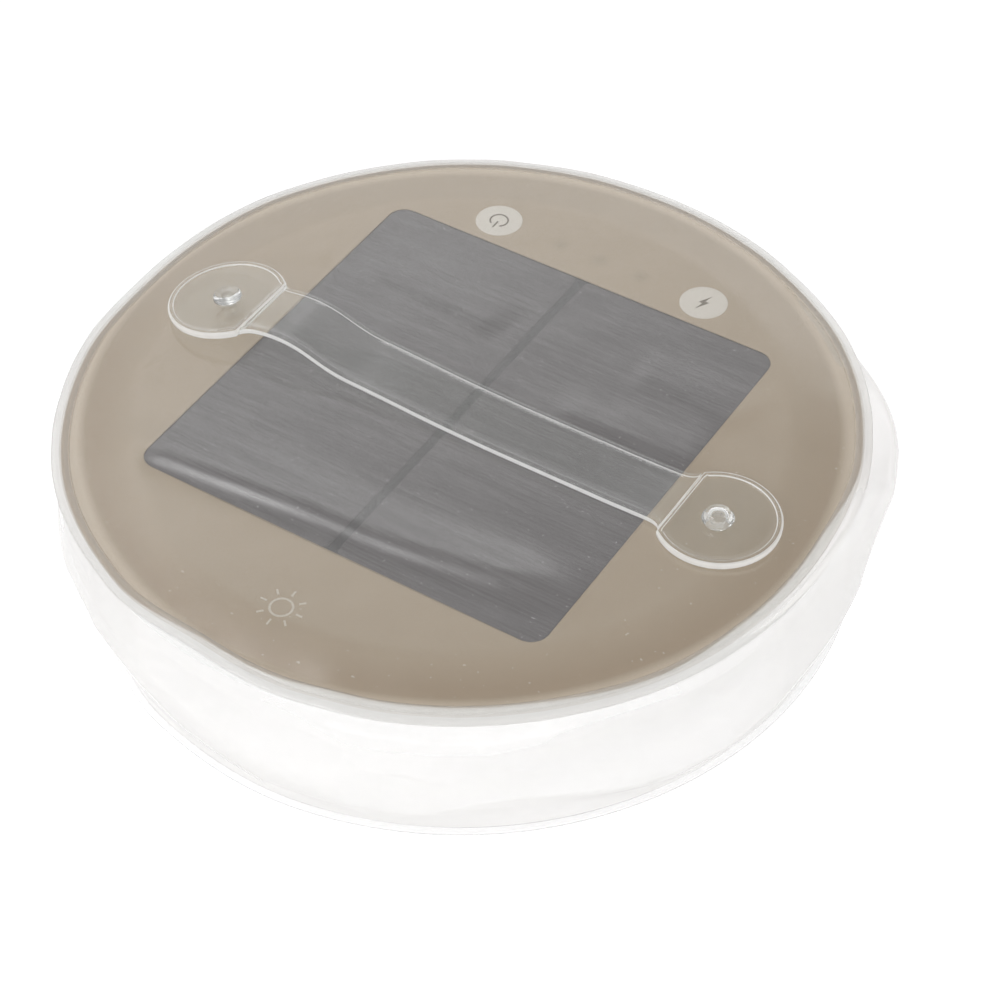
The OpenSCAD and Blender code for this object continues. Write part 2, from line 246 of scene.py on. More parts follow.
# ------------------------------------------------------------------ node helpers
class Mat:
    def __init__(self, name):
        self.m = bpy.data.materials.new(name)
        self.m.use_nodes = True
        self.nt = self.m.node_tree
        self.nt.nodes.clear()
        self.out = self.nt.nodes.new("ShaderNodeOutputMaterial")
        self.tc = None

    def n(self, kind, **kw):
        nd = self.nt.nodes.new("ShaderNode" + kind)
        for k, v in kw.items():
            if hasattr(nd, k) and not k[0].isupper():
                setattr(nd, k, v)
            else:
                self.set(nd, k.replace("_", " "), v)
        return nd

    def set(self, nd, key, v):
        s = nd.inputs[key]
        if isinstance(v, bpy.types.NodeSocket):
            self.nt.links.new(v, s)
        else:
            s.default_value = v

    def link(self, a, b):
        self.nt.links.new(a, b)

    def co(self):
        if self.tc is None:
            self.tc = self.nt.nodes.new("ShaderNodeTexCoord")
        return self.tc.outputs["Object"]

    def xyz(self):
        s = self.nt.nodes.new("ShaderNodeSeparateXYZ")
        self.link(self.co(), s.inputs[0])
        return s.outputs[0], s.outputs[1], s.outputs[2]

    def math(self, op, a, b=None, c=None, clamp=False):
        nd = self.nt.nodes.new("ShaderNodeMath")
        nd.operation = op
        nd.use_clamp = clamp
        for i, v in enumerate((a, b, c)):
            if v is None:
                continue
            if isinstance(v, bpy.types.NodeSocket):
                self.link(v, nd.inputs[i])
            else:
                nd.inputs[i].default_value = v
        return nd.outputs[0]

    def noise(self, scale, detail=3.0, rough=0.5, vec=None, dim="3D", dist=0.0):
        nd = self.nt.nodes.new("ShaderNodeTexNoise")
        nd.noise_dimensions = dim
        nd.inputs["Scale"].default_value = scale
        nd.inputs["Detail"].default_value = detail
        nd.inputs["Roughness"].default_value = rough
        nd.inputs["Distortion"].default_value = dist
        self.link(vec if vec is not None else self.co(), nd.inputs["Vector"])
        return nd.outputs["Fac"]

    def scaled(self, sx, sy, sz, vec=None):
        nd = self.nt.nodes.new("ShaderNodeMapping")
        nd.inputs["Scale"].default_value = (sx, sy, sz)
        self.link(vec if vec is not None else self.co(), nd.inputs["Vector"])
        return nd.outputs[0]

    def mix(self, fac, a, b):
        nd = self.nt.nodes.new("ShaderNodeMix")
        nd.data_type = "RGBA"
        nd.clamp_factor = True
        for s, v in ((nd.inputs[0], fac), (nd.inputs[6], a), (nd.inputs[7], b)):
            if isinstance(v, bpy.types.NodeSocket):
                self.link(v, s)
            elif isinstance(v, (tuple, list)):
                s.default_value = (*v[:3], 1.0)
            else:
                s.default_value = v
        return nd.outputs[2]

    def ramp(self, fac, stops):
        nd = self.nt.nodes.new("ShaderNodeValToRGB")
        el = nd.color_ramp.elements
        while len(el) > 1:
            el.remove(el[-1])
        el[0].position = stops[0][0]
        el[0].color = (*stops[0][1], 1)
        for p, c in stops[1:]:
            k = el.new(p)
            k.color = (*c, 1)
        self.link(fac, nd.inputs[0])
        return nd.outputs[0]

    def framp(self, fac, stops):
        return self.math("MULTIPLY", self.ramp(fac, [(p, (v, v, v)) for p, v in stops]), 1.0)

    def bump(self, height, strength=0.3, dist=0.0002, normal=None):
        nd = self.nt.nodes.new("ShaderNodeBump")
        nd.inputs["Strength"].default_value = strength
        nd.inputs["Distance"].default_value = dist
        self.link(height, nd.inputs["Height"])
        if normal is not None:
            self.link(normal, nd.inputs["Normal"])
        return nd.outputs[0]

    def shader(self, kind, **kw):
        return self.n(kind, **kw).outputs[0]

    def mixs(self, fac, a, b):
        nd = self.nt.nodes.new("ShaderNodeMixShader")
        if isinstance(fac, bpy.types.NodeSocket):
            self.link(fac, nd.inputs[0])
        else:
            nd.inputs[0].default_value = fac
        self.link(a, nd.inputs[1])
        self.link(b, nd.inputs[2])
        return nd.outputs[0]

    def facing(self, normal=None):
        nd = self.nt.nodes.new("ShaderNodeLayerWeight")
        nd.inputs["Blend"].default_value = 0.5
        if normal is not None:
            self.link(normal, nd.inputs["Normal"])
        return nd.outputs["Facing"]

    def schlick(self, f0=0.04, normal=None, gain=1.0):
        f = self.math("POWER", self.facing(normal), 5.0)
        return self.math("MULTIPLY_ADD", f, (1 - f0) * gain, f0 * gain, clamp=True)

    def principled(self, **kw):
        nd = self.nt.nodes.new("ShaderNodeBsdfPrincipled")
        for k, v in kw.items():
            key = k.replace("_", " ")
            if isinstance(v, (tuple, list)) and len(v) == 3 and "Normal" not in key:
                v = (*v, 1.0)
            self.set(nd, key, v)
        return nd.outputs[0]

    def done(self, shader):
        self.link(shader, self.out.inputs["Surface"])
        return self.m


def lin(r, g, b):
    """Display colour 0-255 to linear."""
    def f(c):
        c /= 255.0
        return c / 12.92 if c <= 0.04045 else ((c + 0.055) / 1.055) ** 2.4
    return (f(r), f(g), f(b))


def film_material(name, milk=0.05, edge=0.35, rough=0.09, tint=(0.985, 0.988, 0.985), crinkle=0.3,
                  scale=180.0, fine=0.18, f0=0.045, white=(0.93, 0.94, 0.95), grey=None, edge_pow=2.2, gain=1.0, wet=None):
    """Clear soft film: see-through, glossy, whiter where it is seen edge-on."""
    m = Mat(name)
    h = m.math("ADD", m.noise(scale, 2.0, 0.4, dist=0.3), m.math("MULTIPLY", m.noise(scale * 6, 2.0, 0.5), fine))
    nrm = m.bump(h, crinkle, 0.0004)
    clear = m.shader("BsdfTransparent", Color=(*tint, 1))
    face = m.facing()
    col = (*white, 1)
    if grey is not None:
        col = m.mix(m.math("POWER", face, 1.7), white, grey)
    body = m.mixs(0.5, m.shader("BsdfDiffuse", Color=col, Normal=nrm), m.shader("BsdfTranslucent", Color=col, Normal=nrm))
    fac = m.math("MULTIPLY_ADD", m.math("POWER", face, edge_pow), edge, milk, clamp=True)
    rg = m.math("MULTIPLY_ADD", m.noise(scale * 0.5, 3.0), 0.08, rough - 0.04)
    gl = m.shader("BsdfGlossy", Color=(1, 1, 1, 1), Roughness=rg, Normal=nrm)
    fr = m.schlick(f0, nrm, gain)
    if wet is not None:
        fr = m.math("MULTIPLY", fr, m.math("SUBTRACT", 1.0, wet(m), clamp=True))
    return m.done(m.mixs(fr, m.mixs(fac, clear, body), gl))


def glassy_material(name, tint=(0.975, 0.985, 0.98), ior=1.49, rough=0.03, bumps=0.15, scale=150.0, milk=0.0):
    """Clear moulded plastic that bends light; lamps shine through it."""
    m = Mat(name)
    h = m.noise(scale, 2.0, 0.5, dist=0.3)
    nrm = m.bump(h, bumps, 0.0003)
    rg = m.math("MULTIPLY_ADD", m.noise(90.0, 2.0), 0.03, rough)
    p = m.nt.nodes.new("ShaderNodeBsdfPrincipled")
    p.inputs["Base Color"].default_value = (*tint, 1)
    p.inputs["IOR"].default_value = ior
    p.inputs["Transmission Weight"].default_value = 1.0
    m.set(p, "Roughness", rg)
    m.set(p, "Normal", nrm)
    g = p.outputs[0]
    if milk:
        w = m.mixs(0.5, m.shader("BsdfDiffuse", Color=(0.96, 0.96, 0.95, 1), Normal=nrm),
                   m.shader("BsdfTranslucent", Color=(0.96, 0.96, 0.95, 1), Normal=nrm))
        g = m.mixs(milk, g, w)
    lp = m.n("LightPath")
    soft = m.math("MAXIMUM", lp.outputs["Is Shadow Ray"], lp.outputs["Is Diffuse Ray"])
    return m.done(m.mixs(soft, g, m.shader("BsdfTransparent", Color=(0.97, 0.975, 0.97, 1))))


def strap_material(name, wet=None):
    """Faces of the clear strap: almost invisible but for the gloss and a faint haze."""
    m = Mat(name)
    h = m.math("ADD", m.noise(55.0, 2.0, 0.5, dist=0.4), m.math("MULTIPLY", m.noise(700.0, 2.0, 0.5), 0.05))
    nrm = m.bump(h, 0.10, 0.0004)
    clear = m.shader("BsdfTransparent", Color=(0.982, 0.986, 0.982, 1))
    haze = m.shader("BsdfDiffuse", Color=(0.9, 0.9, 0.9, 1), Normal=nrm)
    gl = m.shader("BsdfGlossy", Color=(1, 1, 1, 1), Roughness=m.math("MULTIPLY_ADD", m.noise(300.0, 2.0), 0.04, 0.05), Normal=nrm)
    hz = m.math("MULTIPLY_ADD", m.math("POWER", m.facing(), 3.0), 0.25, 0.008, clamp=True)
    fr = m.schlick(0.022, nrm)
    if wet is not None:
        dry = m.math("SUBTRACT", 1.0, wet(m), clamp=True)
        fr = m.math("MULTIPLY", fr, dry)
        hz = m.math("MULTIPLY", hz, dry)
    return m.done(m.mixs(fr, m.mixs(hz, clear, haze), gl))


def strap_edge_material(name):
    """Edges of a clear sheet, which pipe light and look white from outside: their front faces carry a painted white
    highlight standing in for that light.
    """
    m = Mat(name)
    f = m.noise(500.0, 3.0, 0.6)
    nrm = m.bump(f, 0.10, 0.0001)
    geo = m.n("NewGeometry")
    front = m.math("SUBTRACT", 1.0, geo.outputs["Backfacing"])
    painted_edge_highlight = m.mixs(0.5, m.shader("BsdfDiffuse", Color=(0.97, 0.965, 0.955, 1), Normal=nrm),
                  m.shader("BsdfTranslucent", Color=(0.97, 0.965, 0.955, 1), Normal=nrm))
    clear = m.shader("BsdfTransparent", Color=(0.975, 0.98, 0.975, 1))
    gl = m.shader("BsdfGlossy", Color=(1, 1, 1, 1), Roughness=0.08, Normal=nrm)
    amt = m.math("MULTIPLY_ADD", f, 0.2, 0.78)
    amt = m.math("MULTIPLY_ADD", m.math("MULTIPLY", amt, front), 0.92, 0.06, clamp=True)
    return m.done(m.mixs(m.schlick(0.05), m.mixs(amt, clear, painted_edge_highlight), gl))


def plastic(name, col, rough=0.45, grain=900.0, bump=0.12, var=0.06, spec=0.5, coat=0.0, dist=0.00008):
    m = Mat(name)
    big = m.noise(40.0, 4.0, 0.6)
    c = m.mix(m.math("MULTIPLY", big, 1.0), tuple(x * (1 - var) for x in col), tuple(min(1, x * (1 + var)) for x in col))
    fine = m.noise(grain, 2.0, 0.6)
    rg = m.math("MULTIPLY_ADD", fine, 0.16, rough - 0.08)
    kw = dict(Base_Color=c, Roughness=rg, Normal=m.bump(fine, bump, dist))
    p = m.nt.nodes.new("ShaderNodeBsdfPrincipled")
    for k, v in kw.items():
        m.set(p, k.replace("_", " "), v)
    p.inputs["Specular IOR Level"].default_value = spec
    if coat:
        p.inputs["Coat Weight"].default_value = coat
        p.inputs["Coat Roughness"].default_value = 0.08
    return m.done(p.outputs[0])


def metal(name, col, rough=0.3, brush=(1, 1, 14)):
    m = Mat(name)
    f = m.noise(700.0, 3.0, 0.6, vec=m.scaled(*brush))
    c = m.mix(f, tuple(x * 0.82 for x in col), col)
    rg = m.math("MULTIPLY_ADD", f, 0.2, rough - 0.1)
    p = m.nt.nodes.new("ShaderNodeBsdfPrincipled")
    m.set(p, "Base Color", c)
    m.set(p, "Roughness", rg)
    m.set(p, "Normal", m.bump(f, 0.12, 0.00005))
    p.inputs["Metallic"].default_value = 1.0
    return m.done(p.outputs[0])


# ------------------------------------------------------------------ the film's shape
RIM_DEV = [(-178, -0.9), (-160, -0.2), (-132, 0.6), (-112, 0.1), (-97, -1.3), (-80, -0.3), (-60, 0.15),
           (-30, 0.1), (0, -0.2), (25, 0.3), (48, 0.85), (66, 0.2), (90, 0.0), (120, 0.15), (150, 0.1)]
RIM_LIFT = [(-178, -0.35), (-150, 0.25), (-128, 0.2), (-97, -0.15), (-70, 0.05), (-45, 0.15), (-10, -0.1),
            (20, 0.35), (50, -0.3), (80, 0.1), (120, 0.2), (155, -0.1)]


def rim_dev(th_deg):
    return periodic(th_deg, RIM_DEV)


def rim_lift(th_deg, r):
    """Height of the wavy seam, growing from the lamp's edge outwards."""
    r = np.asarray(r, float)
    th = np.radians(th_deg)
    w = periodic(th_deg, RIM_LIFT) + 0.10 * vnoise(4.2 * np.cos(th), 4.2 * np.sin(th), 0.3, 5) \
        + 0.05 * vnoise(11 * np.cos(th), 11 * np.sin(th), 1.7, 8)
    return w * sstep(54.0, 63.0, r)


def shoulder(r):
    """Drop of the top sheets from the lamp's flat top to the seam, mm (negative)."""
    r = np.asarray(r, float)
    t = np.clip((r - 50.6) / 11.0, 0, 1)
    a = 0.22
    f = np.where(t < a, t * t / (2 * a * (1 - a)),
                 np.where(t > 1 - a, 1 - (1 - t) ** 2 / (2 * a * (1 - a)), (t - a / 2) / (1 - a)))
    return -1.32 * f


def seg_dist(x, y, pts):
    """Distance to a polyline and the share of its length at the nearest point."""
    best = np.full(np.shape(x), 1e9)
    side = np.zeros(np.shape(x))
    along = np.zeros(np.shape(x))
    L = [0.0]
    for (x0, y0), (x1, y1) in zip(pts[:-1], pts[1:]):
        L.append(L[-1] + math.hypot(x1 - x0, y1 - y0))
    for k, ((x0, y0), (x1, y1)) in enumerate(zip(pts[:-1], pts[1:])):
        dx, dy = x1 - x0, y1 - y0
        l2 = dx * dx + dy * dy
        t = np.clip(((x - x0) * dx + (y - y0) * dy) / l2, 0, 1)
        d = np.hypot(x - x0 - t * dx, y - y0 - t * dy)
        s = ((x - x0) * dy - (y - y0) * dx) / math.sqrt(l2)
        u = (L[k] + t * math.sqrt(l2)) / L[-1]
        near = d < best
        best = np.where(near, d, best)
        side = np.where(near, s, side)
        along = np.where(near, u, along)
    return best, side, along


# soft ridges of the loose top film: points from left to right, height, half width, and how much wider the far side is
RIDGES = [
    ([(-46.0, -34.0), (-41.0, -33.6), (-22, -32.0), (-8, -30.6), (8, -29.6), (22, -27.6), (37.0, -25.0)], 0.92, 2.3, 1.4),
    ([(-33.0, 20.0), (-24, 20.9), (-13, 20.0), (-4, 18.0)], 0.16, 2.2, 2.0),
    ([(12.0, 4.6), (24, 6.6), (39.0, 10.0)], 0.18, 2.2, 2.0),
    ([(18.0, 21.5), (29, 22.4), (40.0, 19.5)], 0.12, 2.4, 1.5),
    ([(-60.0, -16.0), (-54.0, -18.5), (-47, -19.0)], 0.12, 1.6, 1.0),
    ([(-52.0, 12.0), (-44, 17.0), (-38, 20.0)], 0.12, 2.2, 1.0),
]


def film_wave(x, y):
    """Undulation of the loose top film over the lamp, mm, never below 0."""
    u = 0.05 + 0.05 * vnoise(x / 15.0, y / 15.0, 0.5, 21) + 0.022 * vnoise(x / 6.0, y / 6.0, 2.5, 22)
    for pts, h, w, lean in RIDGES:
        d, s, a = seg_dist(x, y, pts)
        u = u + h * gauss(d, np.where(s > 0, w, w * lean)) * sstep(-0.02, 0.16, a) * (1 - sstep(0.84, 1.02, a))
    # a pocket of air under the strap's fixed tab
    u = u + 0.5 * gauss(np.hypot((x + 45.0) / 1.25, (y - 1.0)), 6.5)
    # kept low where the strap and the snap tab lie on it
    lie = sstep(-30, -20, x) * (1 - sstep(52, 58, x)) * (1 - sstep(6.5, 9.5, np.abs(y + 1.0)))
    tab = 1 - sstep(9.5, 13, np.hypot(x - 46.0, y + 1.0))
    lie = np.maximum(lie, tab)
    return np.maximum(u * (1 - lie) + 0.03 * lie, 0.0)


def film_top(x, y):
    r = np.hypot(x, y)
    th = np.degrees(np.arctan2(y, x))
    fade = 1 - sstep(54, 61, r)
    radial = 0.04 * vnoise(9 * np.cos(np.radians(th)), 9 * np.sin(np.radians(th)), r / 14.0, 31) * sstep(50, 58, r)
    return FILM_Z + shoulder(r) + rim_lift(th, r) + film_wave(x, y) * fade + radial * (1 - sstep(60, 62, r))


def print_top(x, y):
    r = np.hypot(x, y)
    th = np.degrees(np.arctan2(y, x))
    z = PRINT_Z + shoulder(r) + rim_lift(th, r)
    # it comes up to the film towards the seam, where both are welded
    gap = (film_top(x, y) - 0.16) - z
    return z + gap * sstep(53, 60, r)


# ------------------------------------------------------------------ top film
def rounded_square_radius(th, hx, hy, rc):
    """Distance from the centre to the outline of a rounded rectangle, at angle th."""
    c, s = np.abs(np.cos(th)), np.abs(np.sin(th))
    c, s = np.maximum(c, 1e-9), np.maximum(s, 1e-9)
    r = np.minimum(hx / c, hy / s)
    x, y = r * c, r * s
    cx, cy = hx - rc, hy - rc
    b = cx * c + cy * s
    q = b * b - (cx * cx + cy * cy - rc * rc)
    rr = b + np.sqrt(np.maximum(q, 0))
    corner = (x > cx) & (y > cy)
    return np.where(corner, rr, r)


NT = 480
TH = np.linspace(0, 2 * PI, NT, endpoint=False)
THD = np.degrees(TH)

# top film: from the centre to the weld
rr = np.concatenate([[0.4], np.linspace(1.5, 50, 66), np.linspace(50.6, 61.6, 26)])
R = rr[None, :] + rim_dev(THD)[:, None] * sstep(52, 61.6, rr)[None, :]
X, Y = R * np.cos(TH)[:, None], R * np.sin(TH)[:, None]
P = np.stack([X, Y, film_top(X, Y)], -1)
v, f = shell_from_grid(P, 0.13, up=True)
# close the small hole at the centre on both faces
nv_ = len(rr)
c0 = len(v)
top_c = np.array([[0, 0, float(film_top(0.0, 0.0))], [0, 0, float(film_top(0.0, 0.0)) - 0.13]])
v = np.concatenate([v, top_c])
f = [tuple(q) for q in f]
f = [q for q in f if not (all((i % nv_) == 0 for i in q))]
for i in range(NT):
    k = (i + 1) % NT
    f.append((c0, i * nv_, k * nv_))
    f.append((c0 + 1, NT * nv_ + k * nv_, NT * nv_ + i * nv_))
top_film = add_mesh("top_film", v, f)

def inner_dev(td):
    """How far the weld's inner edge sits closer to the centre, in mm."""
    return periodic(td, [(-178, 0), (-115, 0), (-90, -0.5), (-75, -1.0), (-50, -1.0), (-30, -0.5), (-15, -0.9), (5, -0.9), (22, 0.0),
                         (90, 0)])


# print under it: from the window's outline to the seam
tt = np.concatenate([np.linspace(0, 0.06, 4), np.linspace(0.1, 1.0, 44)])
rin = rounded_square_radius(TH, 36.2, 36.35, 3.0)
rout = 62.1 + rim_dev(THD) + 1.9 * inner_dev(THD)
R = rin[:, None] + (rout - rin)[:, None] * tt[None, :]
X, Y = R * np.cos(TH)[:, None], R * np.sin(TH)[:, None]
P = np.stack([X, Y, print_top(X, Y)], -1)
v, f = shell_from_grid(P, 0.1, up=True)
print_disc = add_mesh("print_disc", v, f)

# ------------------------------------------------------------------ seams
def seam(name, prof, dev_w=1.0, lift=None, n=NT, wob=0.06, seed=3):
    th = np.linspace(0, 2 * PI, n, endpoint=False)
    td = np.degrees(th)
    pr = np.array(prof, float)
    R = pr[None, :, 0] + dev_w * (rim_dev(td)[:, None] + inner_dev(td)[:, None] * (1 - sstep(61.0, 63.0, pr[:, 0]))[None, :])
    R = R + wob * vnoise(13 * np.cos(th), 13 * np.sin(th), 0.0, seed)[:, None] * sstep(61.2, 63.5, pr[:, 0])[None, :]
    X, Y = R * np.cos(th)[:, None], R * np.sin(th)[:, None]
    Z = np.broadcast_to(pr[None, :, 1], X.shape).copy()
    if lift is not None:
        Z += lift(td[:, None], R)
    P = np.stack([X, Y, Z], -1)
    return P.reshape(-1, 3), grid_faces(n, len(prof), True, True)


top_prof = [(60.6, 24.95), (61.0, 25.16), (61.35, 25.30), (61.7, 25.18), (62.05, 25.16), (62.4, 25.27), (62.75, 25.14),
            (63.1, 25.10), (63.4, 25.12), (63.62, 24.98), (63.5, 24.84), (63.0, 24.80), (62.0, 24.74), (61.0, 24.72)]
v, f = seam("top_seam", top_prof, 1.0, rim_lift)
band = [0, 1, 1, 1, 1, 2, 2, 2, 2, 2, 2, 2, 2, 2]
top_seam = add_mesh("top_seam", v, f, mats=np.tile(band, NT))

# bottom sheet with its own seam, open round the valve
def bottom_out(td):
    return 63.2 + periodic(td, [(-178, 0.2), (-150, -1.6), (-125, -2.2), (-105, -0.6), (-80, 0.2), (-50, 0.3), (-10, 0.2),
                                (30, 0.3), (80, 0), (130, 0.1)])


hx, hy, hr = 0.0, -22.0, 7.2
tb = np.concatenate([np.linspace(0, 0.9, 40), np.linspace(0.915, 1.0, 16)])
out_r = bottom_out(THD)
ox, oy = out_r * np.cos(TH), out_r * np.sin(TH)
ang = np.arctan2(oy - hy, ox - hx)
ix, iy = hx + hr * np.cos(ang), hy + hr * np.sin(ang)
X = ix[:, None] + (ox - ix)[:, None] * tb[None, :]
Y = iy[:, None] + (oy - iy)[:, None] * tb[None, :]
rad = np.hypot(X, Y) / out_r[:, None]
Z = 0.32 + 0.05 * vnoise(X / 9, Y / 9, 0.1, 41) * sstep(0.0, 0.15, tb)[None, :] * (1 - sstep(0.9, 0.96, rad))
Z = Z + 0.35 * gauss(rad - 0.968, 0.0055) + 0.30 * gauss(rad - 0.983, 0.005) + 0.18 * gauss(rad - 0.996, 0.003)
P = np.stack([X, Y, Z], -1)
nrm = grid_normals(P, True)
low = P.copy()
low[..., 2] = 0.0 + 0.04 * (1 - gauss(tb, 0.1))[None, :] * 0
verts = np.concatenate([P.reshape(-1, 3), low.reshape(-1, 3)])
nu_, nb_ = P.shape[:2]
fs = [grid_faces(nu_, nb_, True), grid_faces(nu_, nb_, True, off=nu_ * nb_, flip=True)]
iu = np.arange(nu_)
i2 = (iu + 1) % nu_
o = nu_ * nb_
fs.append(np.stack([iu * nb_, iu * nb_ + o, i2 * nb_ + o, i2 * nb_], -1))
j = nb_ - 1
fs.append(np.stack([iu * nb_ + j, i2 * nb_ + j, i2 * nb_ + j + o, iu * nb_ + j + o], -1))
bottom_film = add_mesh("bottom_film", verts, np.concatenate(fs))

# ------------------------------------------------------------------ side film
NTS = 700
th = np.linspace(0, 2 * PI, NTS, endpoint=False)
td = np.degrees(th)
s = np.concatenate([np.linspace(0, 0.84, 44), np.linspace(0.855, 1.0, 18)])
T, S = np.meshgrid(th, s, indexing="ij")
TD = np.degrees(T)
r_bot = np.interp(0, [0], [0]) + bottom_out(td)[:, None] - 0.9
r_top = 62.2 + rim_dev(td)[:, None]
belly = np.sin(PI * np.clip(S, 0, 1))
base = r_bot * (1 - S) + r_top * S
puff = periodic(td, [(-178, 1.4), (-150, 1.6), (-120, 1.0), (-95, 1.2), (-65, 1.6), (-35, 1.4), (-8, 1.6), (12, 2.6),
                     (40, 3.0), (62, 1.6), (95, 1.0), (140, 1.0)])[:, None]
r = base + puff * belly ** 0.8


def lobe(at, w, s0, sw, amp):
    return amp * gauss(wrap_deg(TD - at), w) * gauss(S - s0, sw)


bulge = (lobe(28, 13, 0.80, 0.16, 3.6) + lobe(2, 12, 0.93, 0.06, 1.5) + lobe(-20, 12, 0.35, 0.2, 1.2)
         + lobe(-60, 18, 0.7, 0.18, 0.8) + lobe(-85, 14, 0.35, 0.2, 1.4) + lobe(-130, 14, 0.4, 0.22, 1.6)
         + lobe(-165, 10, 0.7, 0.2, 1.6) + lobe(165, 9, 0.55, 0.2, 1.2) + lobe(80, 16, 0.5, 0.25, 0.8)
         + lobe(120, 14, 0.5, 0.25, 0.8))
cx, sy = np.cos(T), np.sin(T)
crease = (ridged(2.3 * cx + 0.5 * S, 2.3 * sy, 1.7 * S, 51) - 0.7) * 1.7 \
    + (ridged(5.2 * cx, 5.2 * sy + 0.8 * S, 2.4 * S, 52) - 0.7) * 0.55
r = r + (bulge + crease) * np.clip(belly * 1.6, 0, 1) ** 0.9
z0, z1 = 0.55, 24.80
z = z0 + (z1 - z0) * S
z = z + rim_lift(TD, np.full_like(TD, 63.0)) * S ** 3
z = z + (0.9 * vnoise(2.6 * cx, 2.6 * sy, 1.8 * S, 61) + 0.2 * vnoise(6 * cx, 6 * sy, 3 * S, 62)) * belly
z = z + lobe(27, 16, 0.86, 0.12, 3.0) * np.clip(belly * 2, 0, 1) + lobe(-2, 13, 0.945, 0.045, 2.4)
P = np.stack([r * np.cos(T), r * np.sin(T), z], -1)
v, f = shell_from_grid(P, 0.14)
side_film = add_mesh("side_film", v, f)

# ------------------------------------------------------------------ solar window
def plate(name_pts, z_top, z_bot, bevel=0.12, n=240, rings=None):
    """Rounded rectangle plate as closed mesh; name_pts = (cx, cy, hx, hy, rc)."""
    cx_, cy_, hx_, hy_, rc_ = name_pts
    th_ = np.linspace(0, 2 * PI, n, endpoint=False) + PI / n
    prof = [(0.0, z_bot, 0), (1.0, z_bot, -bevel), (1.0, z_bot + bevel, 0), (1.0, z_top - bevel, 0), (1.0, z_top, -bevel)]
    rows = []
    ro = rounded_square_radius(th_, hx_, hy_, rc_)
    pts = []
    # bottom centre, bottom edge, side, top edge, then inner rings to the centre
    def ring_at(scale, inset, zz):
        rad_ = np.maximum(ro * scale + inset, 0.01)
        return np.stack([cx_ + rad_ * np.cos(th_), cy_ + rad_ * np.sin(th_), np.full(n, zz)], -1)
    seq = [ring_at(0.02, 0, z_bot), ring_at(1, -bevel, z_bot), ring_at(1, 0, z_bot + bevel), ring_at(1, 0, z_top - bevel),
           ring_at(1, -bevel * 0.35, z_top - bevel * 0.25), ring_at(1, -bevel, z_top)]
    for q in (0.97, 0.9, 0.75, 0.5, 0.25, 0.02):
        seq.append(ring_at(q, 0, z_top))
    P_ = np.stack(seq, 1)
    V_ = P_.reshape(-1, 3)
    F_ = [tuple(q) for q in grid_faces(n, P_.shape[1], True)]
    m_ = P_.shape[1]
    F_.append(tuple(i * m_ for i in range(n - 1, -1, -1)))
    F_.append(tuple(i * m_ + m_ - 1 for i in range(n)))
    return V_, F_


window_back = add_mesh("window_back", *plate((0, 0, 36.4, 36.5, 3.0), 26.01, 25.62))
cells = [plate((s_ * 18.53, 0, 17.77, 36.35, 1.2), 26.06, 25.9, bevel=0.04) for s_ in (-1, 1)]
cell_faces = add_mesh("cell_faces", *join(cells))

# ------------------------------------------------------------------ press pads
def pad(cx_, cy_):
    prof = [(0, 22.0), (1.3, 22.0), (1.5, 22.2), (1.5, 25.3), (3.85, 25.3), (4.0, 25.42)] + [(4.0, 26.1)] + arc_pts(3.85, 26.08, 0.15, 0, 90, 5) \
        + [(3.0, 26.235), (2.0, 26.24), (1.0, 26.24), (0, 26.24)]
    return lathe("pad", prof, cx_, cy_, 96)


def prism(outline, z0_, z1_):
    n = len(outline)
    v_ = [(x_, y_, z0_) for x_, y_ in outline] + [(x_, y_, z1_) for x_, y_ in outline]
    f_ = [tuple(range(n - 1, -1, -1)), tuple(range(n, 2 * n))]
    f_ += [(i, (i + 1) % n, n + (i + 1) % n, n + i) for i in range(n)]
    return np.array(v_, float), f_


def ring_strip(cx_, cy_, r0_, r1_, a0_, a1_, z0_, z1_, n=60):
    """Flat arc band with square ends, as a closed prism."""
    A = np.radians(np.linspace(a0_, a1_, n))
    v_, f_ = [], []
    for a_ in A:
        c_, s_ = math.cos(a_), math.sin(a_)
        v_ += [(cx_ + r0_ * c_, cy_ + r0_ * s_, z0_), (cx_ + r1_ * c_, cy_ + r1_ * s_, z0_),
               (cx_ + r1_ * c_, cy_ + r1_ * s_, z1_), (cx_ + r0_ * c_, cy_ + r0_ * s_, z1_)]
    for i in range(n - 1):
        b_ = 4 * i
        for k in range(4):
            k2 = (k + 1) % 4
            f_.append((b_ + k, b_ + k2, b_ + 4 + k2, b_ + 4 + k))
    f_.append((3, 2, 1, 0))
    e_ = 4 * (n - 1)
    f_.append((e_, e_ + 1, e_ + 2, e_ + 3))
    return np.array(v_, float), f_


BX, BY = 19.67, 41.88
power_pad = add_mesh("power_pad_face", *pad(-BX, BY))
level_pad = add_mesh("level_pad_face", *pad(BX, BY))
zi0, zi1 = 26.2, 26.262
# power symbol: open ring and a short bar, reading from the +Y side
w2 = 0.16
parts = [ring_strip(-BX, BY, 1.35, 1.66, -90 + 32, 270 - 32, zi0, zi1),
         prism([(-BX - w2, BY - 2.1), (-BX + w2, BY - 2.1), (-BX + w2, BY - 0.35), (-BX - w2, BY - 0.35)], zi0, zi1)]
power_icon = add_mesh("power_symbol", *join(parts), smooth=False)
bolt = [(0.55, 2.0), (-0.75, -0.25), (-0.08, -0.25), (-0.5, -2.0), (0.85, 0.35), (0.12, 0.35)]
level_icon = add_mesh("level_symbol", *prism([(BX + px, BY + py) for px, py in bolt], zi0, zi1), smooth=False)

